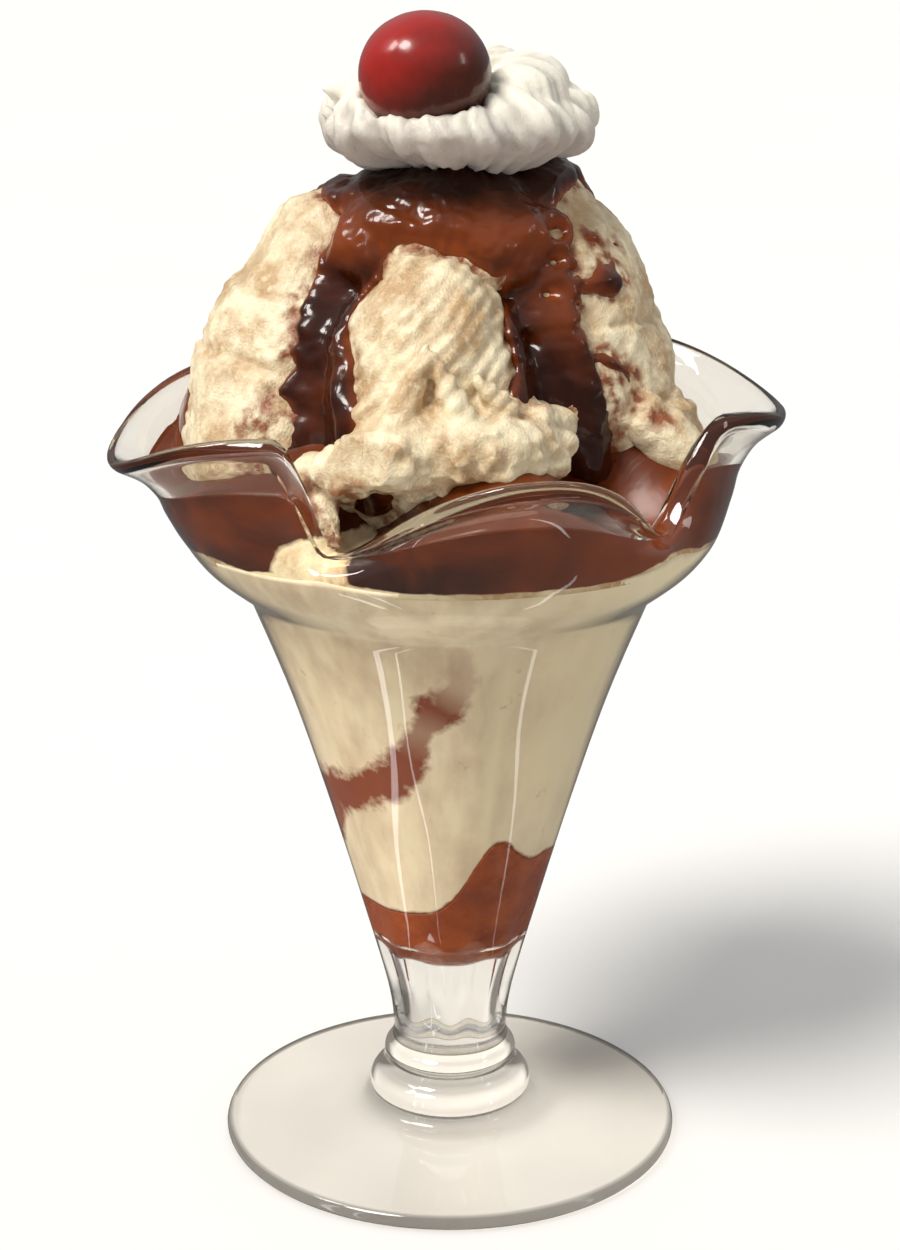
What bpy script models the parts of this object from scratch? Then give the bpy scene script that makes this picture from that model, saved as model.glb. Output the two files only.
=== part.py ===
"""Ice cream sundae in a footed tulip glass with a ruffled rim, at its real size, in metres, +Z up.

The origin is the centre of the foot's flat underside. The side that shows the scoop with the torn skirt
faces -Y, and angles round the glass are measured from -Y towards +X. Each sub-part is one closed body.
Neighbours keep a gap of 0.3 mm: a filling is drawn inside the glass, and scoops are cut by one another.
"""

import math

import bmesh
import bpy
from mathutils import Matrix, Vector, noise
from mathutils.bvhtree import BVHTree

GAP = 0.0003
RUFFLED_GAP = 0.0006  # wider, because a ruffled face is bent along its diagonal
MERGE_DISTANCE = 0.000004

# Glass: the outer outline as (radius, height) stations.
FOOT_RADIUS = 0.0415
FOOT_EDGE_RADIUS = 0.0015
FOOT_DOME = ((0.0280, 0.0040), (0.0165, 0.0056))
LOWER_KNOP = (0.0116, 0.0092, 0.0032)  # ring centre's radius and height, and the ring's own radius
UPPER_KNOP = (0.0097, 0.0153, 0.0024)
CONE = ((0.0102, 0.0195), (0.0118, 0.0295), (0.0163, 0.0460), (0.0224, 0.0670), (0.0284, 0.0860), (0.0352, 0.1035))
SHOULDER = ((0.0366, 0.1048), (0.0428, 0.1098), (0.0466, 0.1150), (0.0480, 0.1198), (0.0482, 0.1235))
LIP = ((0.0482, 0.1235), (0.0496, 0.1268), (0.0525, 0.1290))
SHELF_HEIGHT = SHOULDER[0][1]
RIM_HEIGHT = LIP[-1][1]
WALL_AT_BASE = 0.0034
WALL_AT_RIM = 0.0026
CAVITY_SIDE_HEIGHT = 0.0405
CAVITY_FLOOR_HEIGHT = 0.0353
COLUMNS = 40
FILL_COLUMNS = 20

# The rim's four petals: the angle of the dip before each, how wide its flanks are, and how far its crest moves
# outwards and upwards and droops at its middle.
PETALS = (
    (-27.0, 40.0, 0.0055, 0.0042, 0.0000),
    (54.0, 18.0, 0.0058, 0.0056, 0.0044),
    (153.0, 20.0, 0.0050, 0.0052, 0.0010),
    (234.0, 12.0, 0.0052, 0.0056, 0.0066),
)
DIP_MOVE = (-0.0080, -0.0092)  # outwards, upwards
BACK_RISE = 0.0060
RUFFLE_FLOOR = 0.1140
RUFFLE_START = 1.4  # how sharply the ruffle sets in towards the rim
PETAL_ROUNDNESS = 1.6  # of a crest seen from above
FLANK_ROUNDNESS = 1.7  # of a crest seen from the side
RUFFLE_INNER_RADIUS = (0.020, 0.040)
FLUTES = 10
FLUTE_DEPTH = 0.0005
FLUTE_HEIGHTS = (0.0200, 0.0300, 0.0600, 0.0900)

# Filling inside the glass: its levels at the axis and at the wall.
SYRUP_LEVEL = 0.0450
SYRUP_RISE = 0.0120
SYRUP_RISE_DEGREES = 70.0
SYRUP_RISE_SPREAD = 55.0
POOL_FLOOR = 0.1148
POOL_WALL_LEVEL = 0.1250
POOL_CENTRE_LEVEL = 0.1370
POOL_HOLLOW = 1.5  # how late the pool's surface falls from its centre to the wall
POOL_ROOM_GROWTH = 1.1
POOL_MOUND = 0.0070
POOL_MOUND_DEGREES = -112.0
POOL_MOUND_SPREAD = 26.0
POOL_MOUND_SHARES = (0.50, 0.85, 1.00)  # of the radius: where it starts, where it is highest, the wall
POOL_MOUND_FALL = 0.6  # what of it is lost at the wall

# Scoops: centre, half-sizes, depth below the centre, lean about Y in degrees, how much the top narrows, and the
# skirt's depth.
SCOOPS = {
    "scoop_front": ((-0.0032, -0.0175, 0.1385), (0.0157, 0.0182, 0.0265), 0.0240, 0.0, 0.00, 0.0088),
    "scoop_left": ((-0.0235, 0.0030, 0.1340), (0.0238, 0.0240, 0.0400), 0.0200, 11.0, 0.24, 0.0015),
    "scoop_right": ((0.0160, 0.0060, 0.1420), (0.0212, 0.0240, 0.0360), 0.0290, -7.0, 0.08, 0.0015),
    "scoop_top": ((-0.0010, 0.0010, 0.1610), (0.0215, 0.0205, 0.0160), 0.0060, 0.0, 0.00, 0.0),
}
SCOOP_SEGMENTS = 18
SCOOP_RINGS = 10
SCOOP_LUMP = 0.0010
SCOOP_LUMP_SCALE = 140.0
SCOOP_FLOOR = 0.1205
PRESS_SPREAD = 6.0
SKIRT_LEVEL = -0.12  # latitude of the skirt on the scoop, in radians
SKIRT_SPREAD = 0.24
SKIRT_FACING = (0.72, 0.28)  # the skirt's share all round, and what the front has more and the back less
SKIRT_RAGGEDNESS = 0.45
SKIRT_RAG_SCALE = 3.1

# Sauce cap over the scoops. Angles are polar, from straight up, seen from SAUCE_CENTRE.
SAUCE_CENTRE = Vector((-0.0010, 0.0000, 0.1500))
SAUCE_THICKNESS = 0.0022
SAUCE_THINNING = 0.5  # of its thickness, at the hem
SAUCE_HEM_DEGREES = 46.0
SAUCE_HEM_WAVE = 7.0
SAUCE_HEM_BACK = 12.0
SAUCE_SEGMENTS = 34
SAUCE_RINGS = 9
VALLEY_FILL_DEGREES = 10.0
# Each run of sauce: its middle and half-width round the glass and its reach below the hem, in degrees.
SAUCE_RUNS = (
    (-42.0, 10.5, 76.0),
    (38.0, 19.0, 74.0),
    (128.0, 9.0, 34.0),
    (176.0, 13.0, 74.0),
    (-128.0, 10.0, 42.0),
)

# Whipped cream and cherry.
CREAM_CENTRE = Vector((0.0010, 0.0000, 0.1842))
CREAM_SIZE = (0.0226, 0.0220, 0.0086)
CREAM_LUMP = 0.0026
CREAM_LUMP_SCALE = 95.0
CREAM_FOLDS = ((7, 0.05, 0.8), (11, 0.03, 0.0))  # how many round the dollop, how deep, turned by how much
CREAM_SQUARENESS = 0.8
CREAM_SEGMENTS = 18
CREAM_RINGS = 8
CHERRY_CENTRE = Vector((-0.0040, -0.0112, 0.1928))
CHERRY_SIZE = (0.0108, 0.0106, 0.0101)
CHERRY_SEGMENTS = 14
CHERRY_RINGS = 10
CHERRY_LEAN_DEGREES = -28.0
CHERRY_DIMPLE = 0.0016
CHERRY_DIMPLE_RADIUS = 0.28  # as a share of the cherry's own

COLOURS = {
    "glass": (0.90, 0.93, 0.92, 0.02, 0.0),
    "ice_cream": (0.86, 0.74, 0.54, 0.60, 0.0),
    "sauce": (0.16, 0.045, 0.015, 0.18, 0.0),
    "cream": (0.93, 0.90, 0.82, 0.50, 0.0),
    "cherry": (0.42, 0.02, 0.02, 0.12, 0.0),
}


def clear_scene():
    for obj in list(bpy.data.objects):
        bpy.data.objects.remove(obj, do_unlink=True)


def material(name):
    """A Principled material from its row of red, green, blue, roughness and metallic values."""
    if name in bpy.data.materials:
        return bpy.data.materials[name]
    red, green, blue, roughness, metallic = COLOURS[name]
    made = bpy.data.materials.new(name)
    made.use_nodes = True
    shader = made.node_tree.nodes["Principled BSDF"]
    shader.inputs["Base Color"].default_value = (red, green, blue, 1.0)
    shader.inputs["Roughness"].default_value = roughness
    shader.inputs["Metallic"].default_value = metallic
    return made


def object_from(bm, name, finish):
    mesh = bpy.data.meshes.new(name)
    bmesh.ops.triangulate(bm, faces=bm.faces)
    bm.to_mesh(mesh)
    bm.free()
    mesh.shade_smooth()
    obj = bpy.data.objects.new(name, mesh)
    obj.data.materials.append(material(finish))
    bpy.context.scene.collection.objects.link(obj)
    return obj


def helper_from(bm, name):
    """A cutter: it shapes its neighbours and isn't a part itself."""
    mesh = bpy.data.meshes.new(name)
    bmesh.ops.triangulate(bm, faces=bm.faces)
    bm.to_mesh(mesh)
    bm.free()
    obj = bpy.data.objects.new(name, mesh)
    obj.hide_render = True
    obj.display_type = "WIRE"
    bpy.context.scene.collection.objects.link(obj)
    return obj


def largest_body(bm):
    """Deletes every crumb that a cut has left apart from the largest body."""
    unseen = set(bm.verts)
    bodies = []
    while unseen:
        body = {unseen.pop()}
        front = set(body)
        while front:
            front = {edge.other_vert(vert) for vert in front for edge in vert.link_edges} & unseen
            unseen -= front
            body |= front
        bodies.append(body)
    bodies.sort(key=len)
    crumbs = [vert for body in bodies[:-1] for vert in body]
    bmesh.ops.delete(bm, geom=crumbs, context="VERTS")


def carve(obj, cutters):
    """Cuts the cutters out of an object one by one, and leaves its largest body as a clean mesh."""
    for cutter in cutters:
        cut = obj.modifiers.new("cut", "BOOLEAN")
        cut.operation = "DIFFERENCE"
        cut.solver = "EXACT"
        cut.object = cutter
        evaluated = obj.evaluated_get(bpy.context.evaluated_depsgraph_get())
        bm = bmesh.new()
        bm.from_mesh(evaluated.data)
        obj.modifiers.remove(cut)
        bmesh.ops.remove_doubles(bm, verts=bm.verts, dist=MERGE_DISTANCE)
        bmesh.ops.dissolve_degenerate(bm, edges=bm.edges, dist=MERGE_DISTANCE)
        bmesh.ops.triangulate(bm, faces=bm.faces)
        largest_body(bm)
        bm.to_mesh(obj.data)
        bm.free()
        obj.data.shade_smooth()


def blend(start, end, share):
    return start + (end - start) * share


def smooth_share(value, low, high):
    share = min(1.0, max(0.0, (value - low) / (high - low)))
    return share * share * (3.0 - 2.0 * share)


def arc(centre_radius, centre_height, radius, start, end, steps):
    """Points of an arc in the outline's plane, from start to end degrees, 0 pointing outwards."""
    angles = [math.radians(blend(start, end, i / steps)) for i in range(steps + 1)]
    return [(centre_radius + radius * math.cos(a), centre_height + radius * math.sin(a)) for a in angles]


def bowl_outline():
    """The bowl's outer side from the stem to the lip."""
    return [*CONE, *SHOULDER[:-1], *LIP]


def offset_inwards(outline, extra):
    """The bowl's inner side: the outer one moved along its normal by the wall there, and by extra."""
    moved = []
    last = len(outline) - 1
    for i, (radius, height) in enumerate(outline):
        before, after = outline[max(0, i - 1)], outline[min(last, i + 1)]
        along = Vector((after[0] - before[0], after[1] - before[1])).normalized()
        share = smooth_share(height, CAVITY_SIDE_HEIGHT, RIM_HEIGHT)
        depth = blend(WALL_AT_BASE, WALL_AT_RIM, share) + extra
        moved.append((radius - along.y * depth, height + along.x * depth))
    return moved


def cavity_outline(extra, low, high):
    """The inner side between two heights, top to bottom, with an end point at each height."""
    side = offset_inwards(bowl_outline(), extra)

    def radius_at(height):
        for (r0, z0), (r1, z1) in zip(side, side[1:]):
            if z0 <= height <= z1:
                return blend(r0, r1, (height - z0) / (z1 - z0))
        return side[-1][0]

    margin = 0.0004
    between = [p for p in side if low + margin < p[1] < high - margin]
    return [(radius_at(high), high), *reversed(between), (radius_at(low), low)]


def cavity_floor(extra, steps):
    """The round bottom of the cavity, from its side to the axis."""
    side_radius = cavity_outline(extra, CAVITY_SIDE_HEIGHT, POOL_FLOOR)[-1][0]
    depth = CAVITY_SIDE_HEIGHT - CAVITY_FLOOR_HEIGHT - extra
    angles = [math.radians(90.0 * i / steps) for i in range(1, steps + 1)]
    return [(side_radius * math.cos(a), CAVITY_SIDE_HEIGHT - depth * math.sin(a)) for a in angles]


def spun(outline, columns):
    """A closed body turned from an outline that starts and ends on the axis."""
    bm = bmesh.new()
    verts = [bm.verts.new((0.0, -max(radius, 0.0), height)) for radius, height in outline]
    edges = [bm.edges.new(pair) for pair in zip(verts, verts[1:])]
    bmesh.ops.spin(
        bm,
        geom=verts + edges,
        cent=(0, 0, 0),
        axis=(0, 0, 1),
        dvec=(0, 0, 0),
        angle=2 * math.pi,
        steps=columns,
        use_merge=True,
    )
    bmesh.ops.remove_doubles(bm, verts=bm.verts, dist=1e-6)
    bmesh.ops.recalc_face_normals(bm, faces=bm.faces)
    return bm


def angle_round(co):
    """Degrees round the glass, from -Y towards +X."""
    return math.degrees(math.atan2(co.x, -co.y))


def petal_at(degrees):
    """The petal at an angle, how wide it is, and how far into it the angle lies."""
    first = PETALS[0][0]
    degrees = (degrees - first) % 360.0 + first
    for petal, following in zip(PETALS, [*PETALS[1:], (first + 360.0,)]):
        if degrees < following[0]:
            break
    return petal, following[0] - petal[0], degrees - petal[0]


def ruffled(co):
    """Where a point of the plain turned shape goes in the ruffled one."""
    radius = math.hypot(co.x, co.y)
    rise = max(0.0, (co.z - RUFFLE_FLOOR) / (RIM_HEIGHT - RUFFLE_FLOOR))
    if radius < 1e-6 or rise == 0.0:
        return co
    (_, flank, crest_out, crest_up, droop), width, into = petal_at(angle_round(co))
    swell = math.sin(math.pi * into / width) ** PETAL_ROUNDNESS
    climb = math.sin(math.pi / 2 * min(1.0, min(into, width - into) / flank)) ** FLANK_ROUNDNESS
    outwards = blend(DIP_MOVE[0], crest_out, swell)
    upwards = blend(DIP_MOVE[1], crest_up, climb) - droop * swell**3
    upwards += BACK_RISE * max(0.0, co.y / radius) * climb
    weight = rise**RUFFLE_START * smooth_share(radius, *RUFFLE_INNER_RADIUS)
    grown = (radius + outwards * weight) / radius
    return Vector((co.x * grown, co.y * grown, co.z + upwards * weight))


def ruffle(bm):
    for vert in bm.verts:
        vert.co = ruffled(vert.co)
    bm.normal_update()


def flute(bm):
    """Shallow upright flutes pressed into the outer side of the stem and the cone."""
    low, full, fading, top = FLUTE_HEIGHTS
    outline = bowl_outline()
    for vert in bm.verts:
        radius = math.hypot(vert.co.x, vert.co.y)
        nearest = min(outline, key=lambda point: abs(point[1] - vert.co.z))
        if not low < vert.co.z < top or radius < nearest[0] - WALL_AT_RIM / 2:
            continue
        depth = FLUTE_DEPTH * smooth_share(vert.co.z, low, full) * (1 - smooth_share(vert.co.z, fading, top))
        turn = math.radians(angle_round(vert.co)) * FLUTES
        shrunk = (radius - depth * (0.5 - 0.5 * math.cos(turn))) / radius
        vert.co.x *= shrunk
        vert.co.y *= shrunk


def glass_outline():
    """The whole glass: underside, foot, knops, bowl, lip, inner side and cavity floor."""
    edge = arc(FOOT_RADIUS - FOOT_EDGE_RADIUS, FOOT_EDGE_RADIUS, FOOT_EDGE_RADIUS, -90, 80, 2)
    foot = [(0.0, 0.0), *edge, *FOOT_DOME]
    knops = arc(*LOWER_KNOP, -50, 60, 3) + arc(*UPPER_KNOP, -45, 55, 2)
    bowl = bowl_outline()
    inner = offset_inwards(bowl, 0.0)
    lip_middle = ((bowl[-1][0] + inner[-1][0]) / 2, (bowl[-1][1] + inner[-1][1]) / 2)
    lean = math.degrees(math.atan2(bowl[-1][1] - lip_middle[1], bowl[-1][0] - lip_middle[0]))
    lip = arc(*lip_middle, WALL_AT_RIM / 2, lean + 45, lean + 135, 2)
    inner_side = [point for point in reversed(inner) if point[1] > CAVITY_SIDE_HEIGHT + 0.001]
    side_end = cavity_outline(0.0, CAVITY_SIDE_HEIGHT, POOL_FLOOR)[-1]
    return [*foot, *knops, *bowl, *lip, *inner_side, side_end, *cavity_floor(0.0, 3)]


def make_glass():
    bm = spun(glass_outline(), COLUMNS)
    flute(bm)
    ruffle(bm)
    return object_from(bm, "glass", "glass")


def radius_on(side, height):
    """The radius at a height of a side that runs downwards."""
    height = min(max(height, side[-1][1]), side[0][1])
    for (r0, z0), (r1, z1) in zip(side, side[1:]):
        if z1 <= height <= z0:
            return blend(r1, r0, (height - z1) / (z0 - z1))
    return side[-1][0]


def filling_mesh(floor, top, clear_heights, ceiling, columns, inset=GAP):
    """A body that fills the glass between two surfaces, each a height by share of the radius and by angle.

    Its side follows the wall's own stations where they lie within clear_heights, clear of both surfaces.
    """
    walls = cavity_outline(inset, CAVITY_SIDE_HEIGHT, ceiling)
    heights = [height for _, height in walls if clear_heights[0] < height < clear_heights[1]]
    rows = len(heights) + 1
    side = [(1.0, float(row)) for row in range(rows, -1, -1)]
    bm = spun([(0.0, rows), (0.5, rows), (0.8, rows), *side, (0.8, 0.0), (0.5, 0.0), (0.0, 0.0)], columns)
    for vert in bm.verts:
        share, row = math.hypot(vert.co.x, vert.co.y), round(vert.co.z)
        degrees = angle_round(vert.co)
        if row == 0:
            height = floor(share, degrees)
        elif row == rows:
            height = top(share, degrees)
        else:
            height = heights[rows - 1 - row]
        radius = share * radius_on(walls, height)
        turn = math.radians(degrees)
        vert.co = (radius * math.sin(turn), -radius * math.cos(turn), height)
    return bm


def hump(degrees, middle, spread):
    """1 at the middle angle, fading to 0 at several times the spread."""
    away = (degrees - middle + 180.0) % 360.0 - 180.0
    return math.exp(-((away / spread) ** 2))


def cavity_bottom(share, degrees):
    depth = CAVITY_SIDE_HEIGHT - CAVITY_FLOOR_HEIGHT - GAP
    return CAVITY_SIDE_HEIGHT - depth * math.sqrt(max(0.0, 1.0 - share**2))


def syrup_surface(share, degrees):
    return SYRUP_LEVEL + SYRUP_RISE * share**2 * hump(degrees, SYRUP_RISE_DEGREES, SYRUP_RISE_SPREAD)


def flat_at(height):
    """A level surface at a height."""
    return lambda share, degrees: height


def pool_surface(share, degrees):
    mound = POOL_MOUND * hump(degrees, POOL_MOUND_DEGREES, POOL_MOUND_SPREAD)
    rising, level, end = POOL_MOUND_SHARES
    mound *= smooth_share(share, rising, level) * (1.0 - POOL_MOUND_FALL * smooth_share(share, level, end))
    return blend(POOL_CENTRE_LEVEL, POOL_WALL_LEVEL, share**POOL_HOLLOW) + mound


def lifted(surface, lift):
    """A surface moved upwards."""
    return lambda share, degrees: surface(share, degrees) + lift


def make_syrup_base():
    """Syrup in the tip of the glass, climbing its right side."""
    bm = filling_mesh(cavity_bottom, syrup_surface, (0.0, 0.0), POOL_FLOOR, FILL_COLUMNS)
    return object_from(bm, "syrup_base", "sauce")


def make_cone_ice_cream():
    """Ice cream from the syrup up to the shoulder."""
    clear_heights = (SYRUP_LEVEL + SYRUP_RISE + 0.001, POOL_FLOOR - 0.001)
    floor = lifted(syrup_surface, GAP)
    bm = filling_mesh(floor, flat_at(POOL_FLOOR), clear_heights, POOL_FLOOR, FILL_COLUMNS)
    return object_from(bm, "cone_ice_cream", "ice_cream")


def make_sauce_pool(scoop_cutters):
    """The sauce that fills the glass's shoulder round the scoops, heaped up between them."""
    clear_heights = (POOL_FLOOR + 0.002, POOL_WALL_LEVEL - 0.0005)
    floor = flat_at(POOL_FLOOR + GAP)
    bm = filling_mesh(floor, pool_surface, clear_heights, RIM_HEIGHT, COLUMNS, RUFFLED_GAP)
    ruffle(bm)
    carve(object_from(bm, "sauce_pool", "sauce"), scoop_cutters)


def pool_room():
    """The space of the pool, reaching down and out past it, grown by the gap: the sauce cap ends on it."""
    bm = filling_mesh(flat_at(SHELF_HEIGHT), lifted(pool_surface, GAP), (0.0, 0.0), RIM_HEIGHT, COLUMNS)
    for vert in bm.verts:
        if math.hypot(vert.co.x, vert.co.y) > 0.9 * SHOULDER[0][0]:
            vert.co.x *= POOL_ROOM_GROWTH
            vert.co.y *= POOL_ROOM_GROWTH
    ruffle(bm)
    return helper_from(bm, "room_for_sauce_pool")


def wall_reach(degrees, height):
    """The radius of the ruffled bowl's inner side at an angle and a height, less the gap."""
    turn = math.radians(degrees)
    side = cavity_outline(RUFFLED_GAP, SHELF_HEIGHT, RIM_HEIGHT)
    moved = [ruffled(Vector((radius * math.sin(turn), -radius * math.cos(turn), z))) for radius, z in side]
    return radius_on([(math.hypot(co.x, co.y), co.z) for co in moved], height)


def press_on_glass(bm, grow):
    """Pushes in what would reach through the glass."""
    for vert in bm.verts:
        radius = math.hypot(vert.co.x, vert.co.y)
        degrees = angle_round(vert.co)
        room = min(wall_reach(degrees + beside, vert.co.z) for beside in (-PRESS_SPREAD, 0.0, PRESS_SPREAD))
        pressed = min(1.0, (room + grow) / max(radius, 1e-6))
        vert.co.x *= pressed
        vert.co.y *= pressed


def scoop_mesh(name, grow, skirted=True):
    """A pressed egg of ice cream with lumps, and a torn skirt low down where the scoop has one."""
    centre, half, depth, lean, taper, skirt = SCOOPS[name]
    bm = bmesh.new()
    bmesh.ops.create_uvsphere(bm, u_segments=SCOOP_SEGMENTS, v_segments=SCOOP_RINGS, radius=1.0)
    turn = Matrix.Rotation(math.radians(lean), 3, "Y")
    middle = Vector(centre)
    for vert in bm.verts:
        ball = vert.co.copy()
        narrowed = 1.0 - taper * ball.z
        height = ball.z * (half[2] if ball.z > 0 else depth)
        spot = turn @ Vector((ball.x * half[0] * narrowed, ball.y * half[1] * narrowed, height))
        torn = math.exp(-(((math.asin(max(-1.0, min(1.0, ball.z))) - SKIRT_LEVEL) / SKIRT_SPREAD) ** 2))
        facing = SKIRT_FACING[0] - SKIRT_FACING[1] * ball.y
        ragged = 1.0 + SKIRT_RAGGEDNESS * noise.noise(Vector((ball.x, ball.y, SKIRT_LEVEL)) * SKIRT_RAG_SCALE)
        spot += Vector((ball.x, ball.y, 0.0)) * skirt * torn * facing * ragged * skirted
        lump = noise.noise((middle + spot) * SCOOP_LUMP_SCALE)
        vert.co = middle + spot + spot.normalized() * SCOOP_LUMP * lump
    bm.normal_update()
    moves = [vert.normal * grow for vert in bm.verts]
    for vert, move in zip(bm.verts, moves):
        vert.co += move
    press_on_glass(bm, grow)
    cut = bmesh.ops.bisect_plane(
        bm,
        geom=bm.verts[:] + bm.edges[:] + bm.faces[:],
        plane_co=(0, 0, SCOOP_FLOOR - grow),
        plane_no=(0, 0, -1),
        clear_outer=True,
    )
    rim = [edge for edge in cut["geom_cut"] if isinstance(edge, bmesh.types.BMEdge)]
    if rim:
        bmesh.ops.holes_fill(bm, edges=rim, sides=0)
    bmesh.ops.recalc_face_normals(bm, faces=bm.faces)
    return bm


def make_scoops():
    """The four scoops, each cut by those set in before it, and the grown copies that cut what touches them."""
    cutters = []
    for name in SCOOPS:
        scoop = object_from(scoop_mesh(name, 0.0), name, "ice_cream")
        carve(scoop, cutters)
        cutters.append(helper_from(scoop_mesh(name, GAP), "room_for_" + name))
    return cutters


def heap_tree():
    """A tree of the uncut scoops without their skirts, for finding the outside of the heap."""
    heap = bmesh.new()
    for name in SCOOPS:
        mesh = bpy.data.meshes.new("heap")
        scoop = scoop_mesh(name, 0.0, skirted=False)
        scoop.to_mesh(mesh)
        scoop.free()
        heap.from_mesh(mesh)
        bpy.data.meshes.remove(mesh)
    tree = BVHTree.FromBMesh(heap)
    heap.free()
    return tree


def sauce_hem(degrees):
    """Polar angle of the sauce's lower edge at an angle round the glass."""
    turn = math.radians(degrees)
    hem = SAUCE_HEM_DEGREES + SAUCE_HEM_WAVE * math.cos(2.0 * turn) + SAUCE_HEM_BACK * max(0.0, -math.cos(turn))
    reach = 0.0
    for middle, half_width, below in SAUCE_RUNS:
        away = (degrees - middle + 180.0) % 360.0 - 180.0
        reach = max(reach, below * math.exp(-((away / half_width) ** 6)))
    return hem + reach


def from_sauce_centre(degrees, polar):
    turn, tip = math.radians(degrees), math.radians(polar)
    return Vector((math.sin(tip) * math.sin(turn), -math.sin(tip) * math.cos(turn), math.cos(tip)))


def heap_reach(tree, degrees, polar):
    """How far the heap of scoops reaches in a direction from the sauce's centre."""
    direction = from_sauce_centre(degrees, polar)
    hit = tree.ray_cast(SAUCE_CENTRE + direction * 0.1, -direction)[0]
    return (hit - SAUCE_CENTRE).length if hit else 0.02


def filled_reach(tree, degrees, polar):
    """The heap's reach, bridged over its valleys by the mean of the reach all round."""
    step = VALLEY_FILL_DEGREES
    around = [(degrees + turn * step, polar + tip * step) for turn in (-1, 0, 1) for tip in (-1, 0, 1)]
    mean = sum(heap_reach(tree, *beside) for beside in around) / len(around)
    return max(heap_reach(tree, degrees, polar), mean)


def sauce_mesh(tree, grow):
    """All that lies between the sauce's centre and its skin, within the hem. The scoops are then cut out."""
    bm = bmesh.new()
    bmesh.ops.create_uvsphere(bm, u_segments=SAUCE_SEGMENTS, v_segments=SAUCE_RINGS, radius=1.0)
    for vert in bm.verts:
        degrees = angle_round(vert.co)
        share = math.acos(max(-1.0, min(1.0, vert.co.z))) / math.pi * SAUCE_RINGS / (SAUCE_RINGS - 1)
        if share > 1.01:
            vert.co = SAUCE_CENTRE
            continue
        polar = share * sauce_hem(degrees)
        reach = filled_reach(tree, degrees, polar) + SAUCE_THICKNESS * (1.0 - SAUCE_THINNING * share**6) + grow
        vert.co = SAUCE_CENTRE + from_sauce_centre(degrees, polar) * reach
    return bm


def make_sauce_cap(scoop_cutters, pool_cutter):
    tree = heap_tree()
    cap = object_from(sauce_mesh(tree, 0.0), "sauce_cap", "sauce")
    carve(cap, [*scoop_cutters, pool_cutter])
    return helper_from(sauce_mesh(tree, GAP), "room_for_sauce_cap")


def make_whipped_cream(cutters):
    """A flattened dollop with deep folds and a raised back where the cherry leans."""
    bm = bmesh.new()
    bmesh.ops.create_uvsphere(bm, u_segments=CREAM_SEGMENTS, v_segments=CREAM_RINGS, radius=1.0)
    for vert in bm.verts:
        ball = vert.co.copy()
        turn = math.atan2(ball.y, ball.x)
        folds = 1.0 + sum(depth * math.sin(count * turn + start) for count, depth, start in CREAM_FOLDS)
        flat = math.copysign(abs(ball.z) ** CREAM_SQUARENESS, ball.z)
        spot = Vector((ball.x * CREAM_SIZE[0] * folds, ball.y * CREAM_SIZE[1] * folds, flat * CREAM_SIZE[2]))
        lump = noise.noise(spot * CREAM_LUMP_SCALE)
        vert.co = CREAM_CENTRE + spot + ball * CREAM_LUMP * lump
    bm.normal_update()
    cream = object_from(bm, "whipped_cream", "cream")
    carve(cream, cutters)


def cherry_mesh(grow):
    """A cherry with the small dimple where its stalk was, turned to the back."""
    bm = bmesh.new()
    bmesh.ops.create_uvsphere(bm, u_segments=CHERRY_SEGMENTS, v_segments=CHERRY_RINGS, radius=1.0)
    lean = Matrix.Rotation(math.radians(CHERRY_LEAN_DEGREES), 3, "X")
    for vert in bm.verts:
        ball = vert.co.copy()
        off_axis = math.hypot(ball.x, ball.y) / CHERRY_DIMPLE_RADIUS
        dimple = 0.0 if ball.z < 0 else CHERRY_DIMPLE * math.exp(-(off_axis**2))
        spot = Vector([ball[i] * (CHERRY_SIZE[i] + grow) for i in range(3)])
        spot.z -= dimple
        vert.co = CHERRY_CENTRE + lean @ spot
    bm.normal_update()
    return bm


def main():
    clear_scene()
    make_glass()
    make_syrup_base()
    make_cone_ice_cream()
    scoop_cutters = make_scoops()
    make_sauce_pool(scoop_cutters)
    cap_cutter = make_sauce_cap(scoop_cutters, pool_room())
    object_from(cherry_mesh(0.0), "cherry", "cherry")
    cherry_cutter = helper_from(cherry_mesh(GAP), "room_for_cherry")
    make_whipped_cream([cap_cutter, cherry_cutter])


main()
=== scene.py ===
"""Dresses the ice cream sundae: clear glass, fillings, scoops, sauce, whipped cream and cherry.

Lengths are in metres and heights run up from the foot's underside. Angles round the glass are in degrees,
measured from -Y, the front, towards +X.
"""

import math
import random

import bmesh
import bpy
import numpy as np
from mathutils import Matrix, Vector, noise
from mathutils.bvhtree import BVHTree


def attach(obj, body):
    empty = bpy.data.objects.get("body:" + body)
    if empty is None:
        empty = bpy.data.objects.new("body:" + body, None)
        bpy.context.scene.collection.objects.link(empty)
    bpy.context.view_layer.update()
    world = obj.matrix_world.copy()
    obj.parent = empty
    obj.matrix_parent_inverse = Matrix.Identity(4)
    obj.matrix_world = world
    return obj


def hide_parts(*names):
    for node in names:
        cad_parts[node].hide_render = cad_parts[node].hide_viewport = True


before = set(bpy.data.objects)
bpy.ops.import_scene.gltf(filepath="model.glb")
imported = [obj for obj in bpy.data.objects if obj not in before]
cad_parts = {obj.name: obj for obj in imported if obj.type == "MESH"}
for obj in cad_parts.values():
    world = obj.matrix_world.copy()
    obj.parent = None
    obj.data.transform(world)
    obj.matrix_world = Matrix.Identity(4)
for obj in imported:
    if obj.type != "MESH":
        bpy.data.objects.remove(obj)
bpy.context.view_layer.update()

bl_info = {
    "name": "Ice cream sundae",
    "version": (1, 0, 0),
    "blender": (4, 5, 0),
    "location": "View3D > Sidebar > Sundae",
    "description": "Builds the pieces of an ice cream sundae over its solids",
    "category": "Object",
}

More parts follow.
